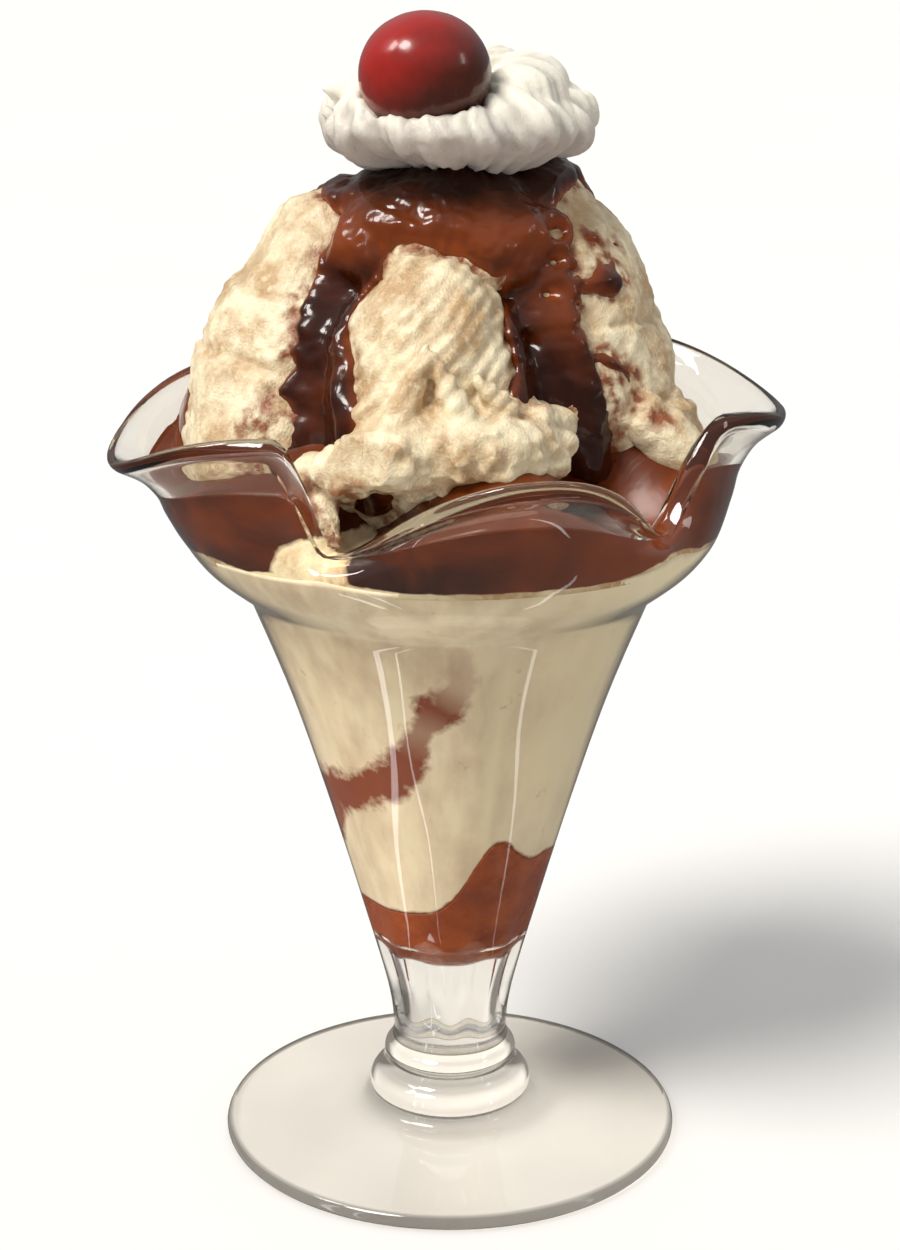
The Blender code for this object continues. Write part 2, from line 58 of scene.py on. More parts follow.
# Glass, as (radius, height) stations of its outer side.
FOOT_RADIUS = 0.0415
FOOT_EDGE_RADIUS = 0.0015
FOOT_DOME = ((0.0280, 0.0040), (0.0165, 0.0056))
LOWER_KNOP = (0.0116, 0.0092, 0.0032)
UPPER_KNOP = (0.0097, 0.0153, 0.0024)
CONE = ((0.0102, 0.0195), (0.0118, 0.0295), (0.0163, 0.0460), (0.0224, 0.0670), (0.0284, 0.0860), (0.0352, 0.1035))
SHOULDER = ((0.0366, 0.1048), (0.0428, 0.1098), (0.0466, 0.1150), (0.0480, 0.1198), (0.0482, 0.1235))
LIP = ((0.0496, 0.1268), (0.0525, 0.1290))
RIM_HEIGHT = LIP[-1][1]
WALL_AT_BASE = 0.0034
WALL_AT_RIM = 0.0026
CAVITY_SIDE_HEIGHT = 0.0405
CAVITY_FLOOR_HEIGHT = 0.0353
PATH_STEPS = 7

# The rim's four petals: the angle of the dip before each, its flanks' width, and how far its crest moves outwards
# and upwards and droops at its middle.
PETALS = (
    (-27.0, 40.0, 0.0055, 0.0042, 0.0000),
    (54.0, 18.0, 0.0058, 0.0056, 0.0044),
    (153.0, 20.0, 0.0050, 0.0052, 0.0010),
    (234.0, 12.0, 0.0052, 0.0056, 0.0066),
)
DIP_MOVE = (-0.0080, -0.0092)
BACK_RISE = 0.0060
RUFFLE_FLOOR = 0.1140
RUFFLE_START = 1.4
PETAL_ROUNDNESS = 1.6
FLANK_ROUNDNESS = 1.7
RUFFLE_INNER_RADIUS = (0.020, 0.040)
FLUTES = 10
FLUTE_HEIGHTS = (0.0200, 0.0300, 0.0600, 0.0900)

# Fillings.
FILL_OVERLAP = -0.00015  # a filling reaches this far into the wall, so that no air gap shows
SYRUP_LEVEL = 0.0472
SYRUP_RISES = ((0.0100, 70.0, 50.0), (0.0105, 25.0, 19.0))  # height, middle, spread
POOL_FLOOR = 0.1148
POOL_WALL_LEVEL = 0.1250
POOL_CENTRE_LEVEL = 0.1370
POOL_HOLLOW = 1.5
POOL_MOUND = (0.0070, -112.0, 26.0)
POOL_MOUND_SHARES = (0.50, 0.85, 1.00)
POOL_MOUND_FALL = 0.6
POOL_TOP = 0.1283  # the sauce stays this low at the wall, just under the rim before the ruffle
POOL_SMEAR = (0.0070, -97.0, 13.0)  # sauce smeared up the inside of the petal behind the left scoop
# The streak of syrup that runs down inside the cone: angle, height, half-width, strength.
SYRUP_STREAK = (
    (3.0, 0.1020, 0.0020, 0.22),
    (4.0, 0.0955, 0.0022, 0.30),
    (-4.0, 0.0908, 0.0036, 1.00),
    (-10.0, 0.0862, 0.0016, 0.70),
    (-17.0, 0.0805, 0.0034, 1.00),
    (-27.0, 0.0750, 0.0036, 1.00),
    (-50.0, 0.0715, 0.0034, 1.00),
    (-74.0, 0.0690, 0.0044, 1.00),
    (-84.0, 0.0600, 0.0018, 0.95),
)

# Scoops: centre, half sizes, depth below the centre, lean in degrees, taper and the torn skirt's depth.
SCOOPS = {
    "scoop_front": ((-0.0032, -0.0175, 0.1385), (0.0157, 0.0182, 0.0265), 0.0240, 0, 0.0, 0.0092),
    "scoop_left": ((-0.0235, 0.0030, 0.1340), (0.0238, 0.0240, 0.0400), 0.0200, 11, 0.24, 0.0015),
    "scoop_right": ((0.0160, 0.0060, 0.1420), (0.0212, 0.0240, 0.0360), 0.0290, -7, 0.08, 0.0015),
    "scoop_top": ((-0.0010, 0.0010, 0.1610), (0.0215, 0.0205, 0.0160), 0.0060, 0, 0.0, 0.0),
}
SCOOP_LEFT_LIMIT = -0.0415  # the left scoop hardly bulges beyond this
SCOOP_LUMP = 0.0010
SCOOP_LUMP_SCALE = 140
SKIRT_LEVEL = -0.12
SKIRT_SPREAD = 0.25
SKIRT_DROOP = (0.34, 25.0, 65.0)  # the skirt's left end sinks by this latitude between two angles
SKIRT_FACING = (0.72, 0.28)
SKIRT_RAGGEDNESS = 0.45
SKIRT_RAG_SCALE = 3.1

# Sauce cap, seen from its centre: each run is a chain of (angle, polar angle from straight up, half-width).
SAUCE_CENTRE = Vector((-0.0010, 0.0000, 0.1500))
SAUCE_REACH_DEGREES = 128.0
SAUCE_EDGE_DEGREES = 6.5
SAUCE_RUNS = (
    ((0, 0, 44), (0, 1, 44)),
    ((-34, 43, 10), (0, 40, 10), (13, 43, 12), (28, 46, 16)),
    ((-48, 40, 15), (-47, 56, 15), (-49, 72, 11.5), (-45, 86, 12), (-42, 97, 13.5), (-38, 108, 14), (-36, 124, 18)),
    ((48, 34, 16), (46, 52, 17), (46, 68, 14.5), (40, 83, 16), (40, 95, 17), (39, 108, 20), (38, 124, 22)),
    ((64, 72, 4), (73, 72, 5), (77, 68, 2)),
    ((60, 96, 3), (66, 100, 3.4), (68, 106, 2)),
    ((75, 58, 2.4), (75, 59, 2.4)),
    ((84, 63, 1.7), (84, 64, 1.7)),
    ((128, 40, 14), (128, 62, 8), (131, 78, 6)),
    ((176, 40, 18), (176, 66, 13), (180, 92, 11), (178, 118, 13)),
    ((-128, 40, 14), (-128, 66, 8), (-125, 84, 6)),
)
# Bare spots within the sauce, where ice cream breaks through.
SAUCE_HOLES = ((62, 51, 2.2), (60, 66, 1.6), (57, 78, 1.4), (49, 71, 1.0), (36, 88, 1.0), (56, 60, 1.2), (67, 62, 2.0))

# Whipped cream and cherry.
CREAM_CENTRE = Vector((0.0010, 0.0000, 0.1842))
CHERRY_CENTRE = Vector((-0.0040, -0.0112, 0.1928))
CHERRY_SIZE = (0.0108, 0.0106, 0.0101)
CHERRY_DIMPLE = 0.0016
CHERRY_DIMPLE_RADIUS = 0.28
CHERRY_LEAN_DEGREES = -28.0

SEED = 11


class SundaeSizes(bpy.types.PropertyGroup):
    """Sizes that a user of the sundae may want to change."""

    glass_columns: bpy.props.IntProperty(name="Glass columns", description="Faces round the glass", default=216, min=40)
    flute_depth: bpy.props.FloatProperty(
        name="Flute depth",
        description="Depth of the upright flutes on the stem and the cone",
        default=0.0005,
        min=0.0,
        unit="LENGTH",
    )
    sauce_thickness: bpy.props.FloatProperty(
        name="Sauce thickness",
        description="Thickness of the sauce over the scoops",
        default=0.0020,
        min=0.0,
        unit="LENGTH",
    )
    scoop_grain: bpy.props.FloatProperty(
        name="Scoop grain",
        description="Distance between points on a scoop's skin",
        default=0.00052,
        min=0.0003,
        unit="LENGTH",
    )
    crumb_height: bpy.props.FloatProperty(
        name="Crumb height",
        description="How far crumbs of torn ice cream stand out",
        default=0.00055,
        min=0.0,
        unit="LENGTH",
    )
    cream_grain: bpy.props.FloatProperty(
        name="Cream grain",
        description="Distance between points on the whipped cream",
        default=0.00050,
        min=0.0003,
        unit="LENGTH",
    )


def colour_property(name, description, default):
    return bpy.props.FloatVectorProperty(
        name=name, description=description, default=default, size=4, min=0.0, max=1.0, subtype="COLOR"
    )


class SundaeColours(bpy.types.PropertyGroup):
    """Colours of the sundae's finishes."""

    glass: colour_property("Glass", "Tint of the clear glass", (0.840, 0.810, 0.750, 1.0))
    ice_cream_light: colour_property("Ice cream, light", "Crests of the ice cream", (0.880, 0.770, 0.530, 1.0))
    # Painted shade: this colour also darkens the dips in the scoops' relief; elsewhere it tints random patches.
    ice_cream_shade: colour_property("Ice cream, shade", "Hollows of the ice cream", (0.520, 0.335, 0.165, 1.0))
    caramel: colour_property("Stain", "Ice cream stained by thin sauce", (0.260, 0.075, 0.020, 1.0))
    sauce_dark: colour_property("Sauce, dark", "Thick sauce", (0.028, 0.0048, 0.0010, 1.0))
    # Thin sauce, and also the colour of painted light on the sauce and in the glass.
    sauce_warm_and_lit: colour_property("Sauce, warm", "Thin sauce with light behind it", (0.205, 0.040, 0.006, 1.0))
    syrup: colour_property("Syrup", "Syrup in the tip of the glass", (0.400, 0.085, 0.012, 1.0))
    cream_light: colour_property("Cream, light", "Crests of the whipped cream", (0.860, 0.820, 0.700, 1.0))
    # Painted shade: the cream's folds and underside take this colour.
    cream_shade: colour_property("Cream, shade", "Folds of the whipped cream", (0.360, 0.300, 0.275, 1.0))
    # A lit and a shaded copy of the cherry's red, for painted light and painted shade.
    cherry_lit: colour_property("Cherry, light", "Upper side of the cherry", (0.320, 0.012, 0.009, 1.0))
    cherry_shaded: colour_property("Cherry, dark", "Lower side of the cherry", (0.060, 0.010, 0.0035, 1.0))
    floor: colour_property("Floor", "Pale floor", (0.860, 0.850, 0.830, 1.0))


def sizes():
    return bpy.context.scene.sundae_sizes


def colours():
    return bpy.context.scene.sundae_colours


# ---- Helpers for shapes ----


def blend(start, end, share):
    return start + (end - start) * share


def smooth_share(value, low, high):
    """0 at low and 1 at high, eased; low may be the larger number."""
    share = min(1.0, max(0.0, (value - low) / (high - low)))
    return share * share * (3.0 - 2.0 * share)


def turned_away(degrees, middle):
    return (degrees - middle + 180.0) % 360.0 - 180.0


def hump(degrees, middle, spread):
    return math.exp(-((turned_away(degrees, middle) / spread) ** 2))


def angle_round(co):
    return math.degrees(math.atan2(co[0], -co[1]))


def on_circle(degrees, radius, height):
    turn = math.radians(degrees)
    return Vector((radius * math.sin(turn), -radius * math.cos(turn), height))


def arc(centre_radius, centre_height, radius, start, end, steps):
    angles = [math.radians(blend(start, end, i / steps)) for i in range(steps + 1)]
    return [(centre_radius + radius * math.cos(a), centre_height + radius * math.sin(a)) for a in angles]


def eased_path(stations):
    """A smooth path through the stations."""
    points = [Vector(station) for station in stations]
    path = []
    for i in range(len(points) - 1):
        before, start, end, after = points[max(i - 1, 0)], points[i], points[i + 1], points[min(i + 2, len(points) - 1)]
        lead_in, lead_out = (end - before) / 2, (after - start) / 2
        for step in range(PATH_STEPS):
            s = step / PATH_STEPS
            path.append(
                start * (2 * s**3 - 3 * s**2 + 1)
                + lead_in * (s**3 - 2 * s**2 + s)
                + end * (3 * s**2 - 2 * s**3)
                + lead_out * (s**3 - s**2)
            )
    return [tuple(point) for point in [*path, points[-1]]]


def bowl_outline():
    """The bowl's outer side, with a tight corner where the cone meets the shoulder."""
    return [*eased_path(CONE), *eased_path([*SHOULDER, *LIP])]


def offset_inwards(outline, extra):
    moved = []
    last = len(outline) - 1
    for i, (radius, height) in enumerate(outline):
        before, after = outline[max(0, i - 1)], outline[min(last, i + 1)]
        along = Vector((after[0] - before[0], after[1] - before[1])).normalized()
        share = smooth_share(height, CAVITY_SIDE_HEIGHT, RIM_HEIGHT)
        depth = blend(WALL_AT_BASE, WALL_AT_RIM, share) + extra
        moved.append((radius - along.y * depth, height + along.x * depth))
    return moved


def cavity_radius(side, height):
    """The radius at a height of a side that runs upwards."""
    height = min(max(height, side[0][1]), side[-1][1])
    for (r0, z0), (r1, z1) in zip(side, side[1:]):
        if z0 <= height <= z1:
            return blend(r0, r1, (height - z0) / max(z1 - z0, 1e-9))
    return side[-1][0]


def cavity_floor(side_radius, extra, steps):
    depth = CAVITY_SIDE_HEIGHT - CAVITY_FLOOR_HEIGHT - extra
    angles = [math.radians(90.0 * i / steps) for i in range(1, steps + 1)]
    return [(side_radius * math.cos(a), CAVITY_SIDE_HEIGHT - depth * math.sin(a)) for a in angles]


def spun(outline, columns):
    """A closed body turned from an outline that starts and ends on the axis."""
    bm = bmesh.new()
    verts = [bm.verts.new((0.0, -max(radius, 0.0), height)) for radius, height in outline]
    edges = [bm.edges.new(pair) for pair in zip(verts, verts[1:])]
    bmesh.ops.spin(
        bm,
        geom=verts + edges,
        cent=(0, 0, 0),
        axis=(0, 0, 1),
        dvec=(0, 0, 0),
        angle=2 * math.pi,
        steps=columns,
        use_merge=True,
    )
    bmesh.ops.remove_doubles(bm, verts=bm.verts, dist=1e-6)
    bmesh.ops.recalc_face_normals(bm, faces=bm.faces)
    return bm


def petal_at(degrees):
    first = PETALS[0][0]
    degrees = (degrees - first) % 360.0 + first
    for petal, following in zip(PETALS, [*PETALS[1:], (first + 360.0,)]):
        if degrees < following[0]:
            break
    return petal, following[0] - petal[0], degrees - petal[0]


def ruffled(co):
    """Where a point of the plain turned glass goes in the ruffled one."""
    radius = math.hypot(co[0], co[1])
    rise = max(0.0, (co[2] - RUFFLE_FLOOR) / (RIM_HEIGHT - RUFFLE_FLOOR))
    if radius < 1e-6 or rise == 0.0:
        return Vector(co)
    (_, flank, crest_out, crest_up, droop), width, into = petal_at(angle_round(co))
    swell = math.sin(math.pi * into / width) ** PETAL_ROUNDNESS
    climb = math.sin(math.pi / 2 * min(1.0, min(into, width - into) / flank)) ** FLANK_ROUNDNESS
    outwards = blend(DIP_MOVE[0], crest_out, swell)
    upwards = blend(DIP_MOVE[1], crest_up, climb) - droop * swell**3
    upwards += BACK_RISE * max(0.0, co[1] / radius) * climb
    weight = rise**RUFFLE_START * smooth_share(radius, *RUFFLE_INNER_RADIUS)
    grown = (radius + outwards * weight) / radius
    return Vector((co[0] * grown, co[1] * grown, co[2] + upwards * weight))


def ruffle(bm):
    for vert in bm.verts:
        vert.co = ruffled(vert.co)
    bm.normal_update()


def filling_mesh(floor, top, low, high, rings, rows, columns):
    """A body that fills the glass between two surfaces, each a height by share of the radius and by angle."""
    side = [(radius, height) for radius, height in offset_inwards(bowl_outline(), FILL_OVERLAP)]
    shares = [i / rings for i in range(rings + 1)]
    outline = [(share, float(rows)) for share in shares]
    outline += [(1.0, float(row)) for row in range(rows - 1, -1, -1)]
    outline += [(share, 0.0) for share in reversed(shares[:-1])]
    bm = spun(outline, columns)
    for vert in bm.verts:
        share, row = math.hypot(vert.co.x, vert.co.y), round(vert.co.z)
        degrees = angle_round(vert.co)
        bottom, lid = floor(share, degrees), top(share, degrees)
        height = min(max(blend(bottom, lid, row / rows), low), high)
        radius = share * cavity_radius(side, max(height, CAVITY_SIDE_HEIGHT))
        vert.co = on_circle(degrees, radius, height)
    return bm


def cad_mesh(node):
    """A merged copy of a solid's mesh."""
    bm = bmesh.new()
    bm.from_mesh(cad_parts[node].data)
    bmesh.ops.remove_doubles(bm, verts=bm.verts, dist=2e-6)
    return bm


def ball(bm, centre, radii, lean=None, subdivisions=3):
    """Adds a ball, or an egg where radii are three, to the mesh."""
    made = bmesh.ops.create_icosphere(bm, subdivisions=subdivisions, radius=1.0)["verts"]
    radii = Vector(radii) if hasattr(radii, "__len__") else Vector((radii,) * 3)
    turn = lean if lean else Matrix.Identity(3)
    for vert in made:
        vert.co = Vector(centre) + turn @ Vector([vert.co[i] * radii[i] for i in range(3)])


def chain(bm, start, end, first_radius, last_radius):
    """Adds a row of balls that taper from one point to another."""
    start, end = Vector(start), Vector(end)
    count = max(2, round((end - start).length / (0.5 * min(first_radius, last_radius) + 0.0003)))
    for i in range(count + 1):
        share = i / count
        ball(bm, start.lerp(end, share), blend(first_radius, last_radius, share), subdivisions=2)


def fused(bm, grain, smoothing):
    """One skin of even faces round all that the mesh holds, smoothed a little."""
    mesh = bpy.data.meshes.new("fusing")
    bm.to_mesh(mesh)
    bm.free()
    helper = bpy.data.objects.new("fusing", mesh)
    bpy.context.scene.collection.objects.link(helper)
    remesh = helper.modifiers.new("fuse", "REMESH")
    remesh.mode = "VOXEL"
    remesh.voxel_size = grain
    skin = bmesh.new()
    skin.from_mesh(helper.evaluated_get(bpy.context.evaluated_depsgraph_get()).data)
    bpy.data.objects.remove(helper, do_unlink=True)
    bpy.data.meshes.remove(mesh)
    for _ in range(smoothing):
        bmesh.ops.smooth_vert(skin, verts=skin.verts, factor=0.5, use_axis_x=True, use_axis_y=True, use_axis_z=True)
    skin.normal_update()
    return skin


def skin_moved(bm, heights):
    """Moves each point along its normal by its height, and returns the heights."""
    moves = [vert.normal * height for vert, height in zip(bm.verts, heights)]
    for vert, move in zip(bm.verts, moves):
        vert.co += move
    bm.normal_update()
    return heights


def rough(co, scale, seed=0.0):
    return noise.noise(co * scale + Vector((seed, 2.3 * seed, -seed)))


def crumbs(co, scale, octaves=4):
    """Sharp-edged roughness between about 0 and 1, as torn ice cream has."""
    return noise.ridged_multi_fractal(co * scale, 1.0, 2.1, octaves, 0.9, 2.0) / 2.0


_walls = {}


def wall_table():
    """The radius of the ruffled bowl's inner side, by degree round the glass and by half millimetre of height."""
    if not _walls:
        side = [point for point in offset_inwards(bowl_outline(), 0.0) if point[1] > 0.110]
        steps = np.arange(0.112, 0.150, 0.0005)
        table = []
        for degrees in range(360):
            moved = [ruffled(on_circle(degrees, radius, height)) for radius, height in side]
            heights = np.maximum.accumulate([co.z for co in moved])
            table.append(np.interp(steps, heights, [math.hypot(co.x, co.y) for co in moved]))
        _walls["radius"] = np.array(table)
        _walls["low"] = steps[0]
    return _walls["radius"], _walls["low"]


def pressed_on_glass(bm, reach):
    """Pushes in what would reach through the glass further than reach."""
    table, low = wall_table()
    last = table.shape[1] - 1
    for vert in bm.verts:
        radius = math.hypot(vert.co.x, vert.co.y)
        row = int(min(max((vert.co.z - low) / 0.0005, 0), last))
        column = int(round(angle_round(vert.co))) % 360
        room = float(min(table[column][row], table[(column + 3) % 360][row], table[(column - 3) % 360][row])) + reach
        if radius > room:
            vert.co.x *= room / radius
            vert.co.y *= room / radius
    bm.normal_update()


def piece(bm, name, finish, node=None, slot=None, **attributes):
    mesh = bpy.data.meshes.new(name)
    bm.to_mesh(mesh)
    bm.free()
    mesh.shade_smooth()
    for label, values in attributes.items():
        layer = mesh.attributes.new(label, "FLOAT", "POINT")
        layer.data.foreach_set("value", values)
    obj = bpy.data.objects.new(name, mesh)
    mesh.materials.append(finish)
    bpy.context.scene.collection.objects.link(obj)
    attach(obj, "root")
    if node:
        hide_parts(node)
    return obj


# ---- Helpers for finishes ----


class Finish:
    """A node material under construction."""

    def __init__(self, name):
        self.material = bpy.data.materials.new(name)
        self.material.use_nodes = True
        self.tree = self.material.node_tree
        self.shader = self.tree.nodes["Principled BSDF"]
        self.object_space = self.node("ShaderNodeTexCoord").outputs["Object"]

    def node(self, kind, **settings):
        made = self.tree.nodes.new(kind)
        for key, value in settings.items():
            setattr(made, key, value)
        return made

    def feed(self, socket, value):
        if isinstance(value, bpy.types.NodeSocket):
            self.tree.links.new(value, socket)
        else:
            socket.default_value = value

    def shade(self, **values):
        for key, value in values.items():
            self.feed(self.shader.inputs[key.replace("_", " ")], value)

    def stretched(self, scale, location=(0.0, 0.0, 0.0), rotation=(0.0, 0.0, 0.0)):
        mapping = self.node("ShaderNodeMapping")
        self.feed(mapping.inputs["Vector"], self.object_space)
        mapping.inputs["Scale"].default_value = scale
        mapping.inputs["Location"].default_value = location
        mapping.inputs["Rotation"].default_value = rotation
        return mapping.outputs["Vector"]

    def noise(self, scale, detail=3.0, roughness=0.5, distortion=0.0, vector=None):
        made = self.node("ShaderNodeTexNoise")
        self.feed(made.inputs["Vector"], vector or self.object_space)
        made.inputs["Scale"].default_value = scale
        made.inputs["Detail"].default_value = detail
        made.inputs["Roughness"].default_value = roughness
        made.inputs["Distortion"].default_value = distortion
        return made.outputs["Fac"]

    def spread(self, value, low, high, start=0.0, end=1.0):
        made = self.node("ShaderNodeMapRange", clamp=True)
        self.feed(made.inputs["Value"], value)
        for key, number in (("From Min", low), ("From Max", high), ("To Min", start), ("To Max", end)):
            made.inputs[key].default_value = number
        return made.outputs["Result"]

    def maths(self, operation, first, second=0.0):
        made = self.node("ShaderNodeMath", operation=operation, use_clamp=False)
        self.feed(made.inputs[0], first)
        self.feed(made.inputs[1], second)
        return made.outputs["Value"]

    def mixed(self, share, first, second):
        made = self.node("ShaderNodeMix", data_type="RGBA")
        self.feed(made.inputs["Factor"], share)
        self.feed(made.inputs[6], tuple(first) if not isinstance(first, bpy.types.NodeSocket) else first)
        self.feed(made.inputs[7], tuple(second) if not isinstance(second, bpy.types.NodeSocket) else second)
        return made.outputs[2]

    def attribute(self, name):
        return self.node("ShaderNodeAttribute", attribute_name=name).outputs["Fac"]

    def bump(self, height, distance, strength=1.0, under=None):
        made = self.node("ShaderNodeBump")
        made.inputs["Strength"].default_value = strength
        made.inputs["Distance"].default_value = distance
        self.feed(made.inputs["Height"], height)
        if under:
            self.feed(made.inputs["Normal"], under)
        return made.outputs["Normal"]


def glass_finish():
    """Clear pressed glass, a little wavy, that lets lamps through to what it holds. Its tint is darker towards the
    foot, and it carries a painted highlight band, a painted dark outline and painted dark rings.
    """
    made = Finish("clear_glass")
    waves = made.noise(55.0, detail=1.0, vector=made.stretched((1.0, 1.0, 0.35)))
    height = made.node("ShaderNodeSeparateXYZ")
    made.feed(height.inputs[0], made.object_space)
    foot = made.spread(height.outputs["Z"], 0.012, 0.006, 0.0, 0.75)
    tint = made.mixed(foot, colours().glass, (0.400, 0.375, 0.345, 1.0))
    tint = made.mixed(made.spread(made.noise(30.0), 0.3, 0.7, 0.0, 0.5), tint, (0.810, 0.775, 0.705, 1.0))
    # Painted reflection and painted shade: a bright band, then a nearly black outline, where the glass turns away from
    # the view. The outline starts sooner on the stem and is left off the foot's flat top.
    facing = made.node("ShaderNodeLayerWeight").outputs["Facing"]
    stem = made.maths("MULTIPLY", made.spread(height.outputs["Z"], 0.030, 0.042, 1.0, 0.0), -0.30)
    stem = made.maths("MULTIPLY", stem, made.spread(height.outputs["Z"], 0.005, 0.015))
    edge = made.maths("SUBTRACT", made.maths("SUBTRACT", facing, stem), made.attribute("flat"))
    tint = made.mixed(made.spread(edge, 0.55, 0.70, 0.0, 0.8), tint, (0.980, 0.965, 0.930, 1.0))
    tint = made.mixed(made.spread(edge, 0.72, 0.86), tint, (0.090, 0.075, 0.065, 1.0))
    # Painted shade: nearly black rings at the foot's edge and in the creases by the knops.
    tint = made.mixed(made.attribute("ring"), tint, (0.014, 0.012, 0.010, 1.0))
    made.shade(
        Base_Color=tint,
        Roughness=made.spread(made.noise(120.0), 0.35, 0.75, 0.0, 0.03),
        IOR=1.5,
        Transmission_Weight=1.0,
        Normal=made.bump(waves, 0.0005, 0.35),
    )
    output = made.tree.nodes["Material Output"]
    lamps_through = made.node("ShaderNodeBsdfTransparent")
    lamps_through.inputs["Color"].default_value = (0.90, 0.89, 0.87, 1.0)
    mix = made.node("ShaderNodeMixShader")
    made.feed(mix.inputs[0], made.node("ShaderNodeLightPath").outputs["Is Shadow Ray"])
    made.feed(mix.inputs[1], made.shader.outputs["BSDF"])
    made.feed(mix.inputs[2], lamps_through.outputs["BSDF"])
    made.feed(output.inputs["Surface"], mix.outputs["Shader"])
    return made.material


def ice_cream_colour(made, stain=None):
    """Cream colour with tan patches, paler flecks and, where stain says so, caramel."""
    patches = made.spread(made.noise(110.0, detail=6.0, roughness=0.66), 0.42, 0.62)
    base = made.mixed(patches, colours().ice_cream_light, colours().ice_cream_shade)
    flecks = made.spread(made.noise(900.0, detail=3.0), 0.52, 0.72, 0.0, 0.55)
    base = made.mixed(flecks, base, colours().ice_cream_light)
    if stain:
        base = made.mixed(stain, base, colours().caramel)
    return base


def ice_cream_finish(name="ice_cream"):
    """Torn ice cream: matt, with a wet sheen, a soft glow inside, painted shade in the dips of its relief, and stains
    beside the sauce.
    """
    made = Finish(name)
    # Painted shade: the dips in the relief take the shade colour.
    hollows = made.spread(made.attribute("hollow"), 0.0, 1.0, 0.0, 0.85)
    ragged = made.maths("MULTIPLY", made.attribute("stain"), made.spread(made.noise(420.0, detail=4.0), 0.38, 0.60))
    base = made.mixed(hollows, ice_cream_colour(made), colours().ice_cream_shade)
    base = made.mixed(made.spread(ragged, 0.05, 0.9), base, colours().caramel)
    grain = made.maths("ADD", made.noise(700.0, detail=6.0, roughness=0.65), made.noise(2300.0, detail=2.0))
    made.shade(
        Base_Color=base,
        Roughness=made.spread(made.noise(350.0, detail=3.0), 0.3, 0.7, 0.36, 0.62),
        Normal=made.bump(grain, 0.00045, 0.55),
    )
    made.shade(Subsurface_Weight=0.12, Subsurface_Scale=0.0014, Coat_Weight=0.10, Coat_Roughness=0.25)
    made.shader.inputs["Subsurface Radius"].default_value = (1.0, 0.62, 0.32)
    return made.material


def sauce_finish():
    """Thick glossy chocolate sauce, nearly black where it is thick and where shade is painted, warm brown where it is
    thin and where light is painted.
    """
    made = Finish("chocolate_sauce")
    depth = made.maths("MULTIPLY", made.spread(made.noise(70.0, detail=4.0, distortion=0.8), 0.36, 0.66), 0.40)
    warmth = made.maths("ADD", depth, made.attribute("warm"))
    base = made.mixed(made.spread(warmth, 0.15, 1.15), colours().sauce_dark, colours().sauce_warm_and_lit)
    flow = made.bump(made.noise(110.0, detail=2.0, distortion=0.5), 0.0008, 0.35)
    made.shade(
        Base_Color=base,
        Roughness=made.spread(made.noise(260.0, detail=2.0), 0.3, 0.7, 0.14, 0.26),
        Normal=made.bump(made.noise(520.0, detail=2.0), 0.00018, 0.4, under=flow),
    )
    made.shade(Coat_Weight=0.30, Coat_Roughness=0.06, Specular_IOR_Level=0.22)
    return made.material


def pool_finish():
    """The sauce against the glass, warmer where light is painted on it, with melted ice cream where the glass is
    pinched.
    """
    made = Finish("sauce_in_glass")
    depth = made.maths("MULTIPLY", made.spread(made.noise(60.0, detail=4.0, distortion=1.0), 0.36, 0.66), 0.5)
    warmth = made.maths("ADD", depth, made.attribute("warm"))
    base = made.mixed(made.spread(warmth, 0.10, 1.15), colours().sauce_dark, colours().sauce_warm_and_lit)
    bare = made.maths("ADD", made.attribute("bare"), made.spread(made.noise(260.0, detail=4.0), 0.2, 0.8, -0.22, 0.22))
    bare = made.spread(bare, 0.42, 0.60)
    base = made.mixed(bare, base, ice_cream_colour(made))
    made.shade(
        Base_Color=base,
        Roughness=made.spread(bare, 0.0, 1.0, 0.25, 0.5),
        Normal=made.bump(made.noise(120.0, detail=3.0, distortion=0.6), 0.0007, 0.4),
    )
    made.shade(Specular_IOR_Level=0.2)
    return made.material


def filling_finish():
    """Ice cream pressed against the cone, streaked upright, paler on the right, with painted highlight streaks along
    the flutes and syrup run down through it.
    """
    made = Finish("ice_cream_in_cone")
    streaks = made.noise(210.0, detail=4.0, roughness=0.55, vector=made.stretched((1.0, 1.0, 0.10)))
    cloud = made.noise(60.0, detail=4.0, roughness=0.6)
    shade = made.spread(made.maths("ADD", streaks, cloud), 0.86, 1.30, 0.0, 0.75)
    base = made.mixed(shade, (0.950, 0.830, 0.620, 1.0), (0.560, 0.420, 0.270, 1.0))
    # Paler on the right, and painted highlight streaks along the flutes.
    base = made.mixed(made.spread(made.attribute("pale"), 0.0, 1.0, 0.0, 0.9), base, (1.000, 0.900, 0.650, 1.0))
    fray = made.spread(made.noise(260.0, detail=6.0, roughness=0.66), 0.2, 0.8, -0.55, 0.55)
    syrup = made.spread(made.maths("ADD", made.attribute("syrup"), fray), 0.25, 0.75)
    base = made.mixed(made.maths("MULTIPLY", syrup, made.attribute("syrup_strength")), base, (0.260, 0.050, 0.008, 1.0))
    made.shade(Base_Color=base, Roughness=0.42, Normal=made.bump(streaks, 0.0004, 0.3))
    made.shade(Subsurface_Weight=0.12, Subsurface_Scale=0.002)
    made.shader.inputs["Subsurface Radius"].default_value = (1.0, 0.62, 0.32)
    return made.material


def syrup_finish():
    """Red-brown syrup in the tip of the glass."""
    made = Finish("syrup_in_tip")
    cloud = made.spread(made.noise(130.0, detail=5.0, roughness=0.6), 0.36, 0.66)
    made.shade(
        Base_Color=made.mixed(cloud, colours().syrup, (0.240, 0.042, 0.007, 1.0)),
        Roughness=made.spread(made.noise(300.0), 0.3, 0.7, 0.18, 0.34),
        Normal=made.bump(made.noise(240.0, detail=3.0), 0.0003, 0.4),
    )
    made.shade(Specular_IOR_Level=0.2)
    return made.material


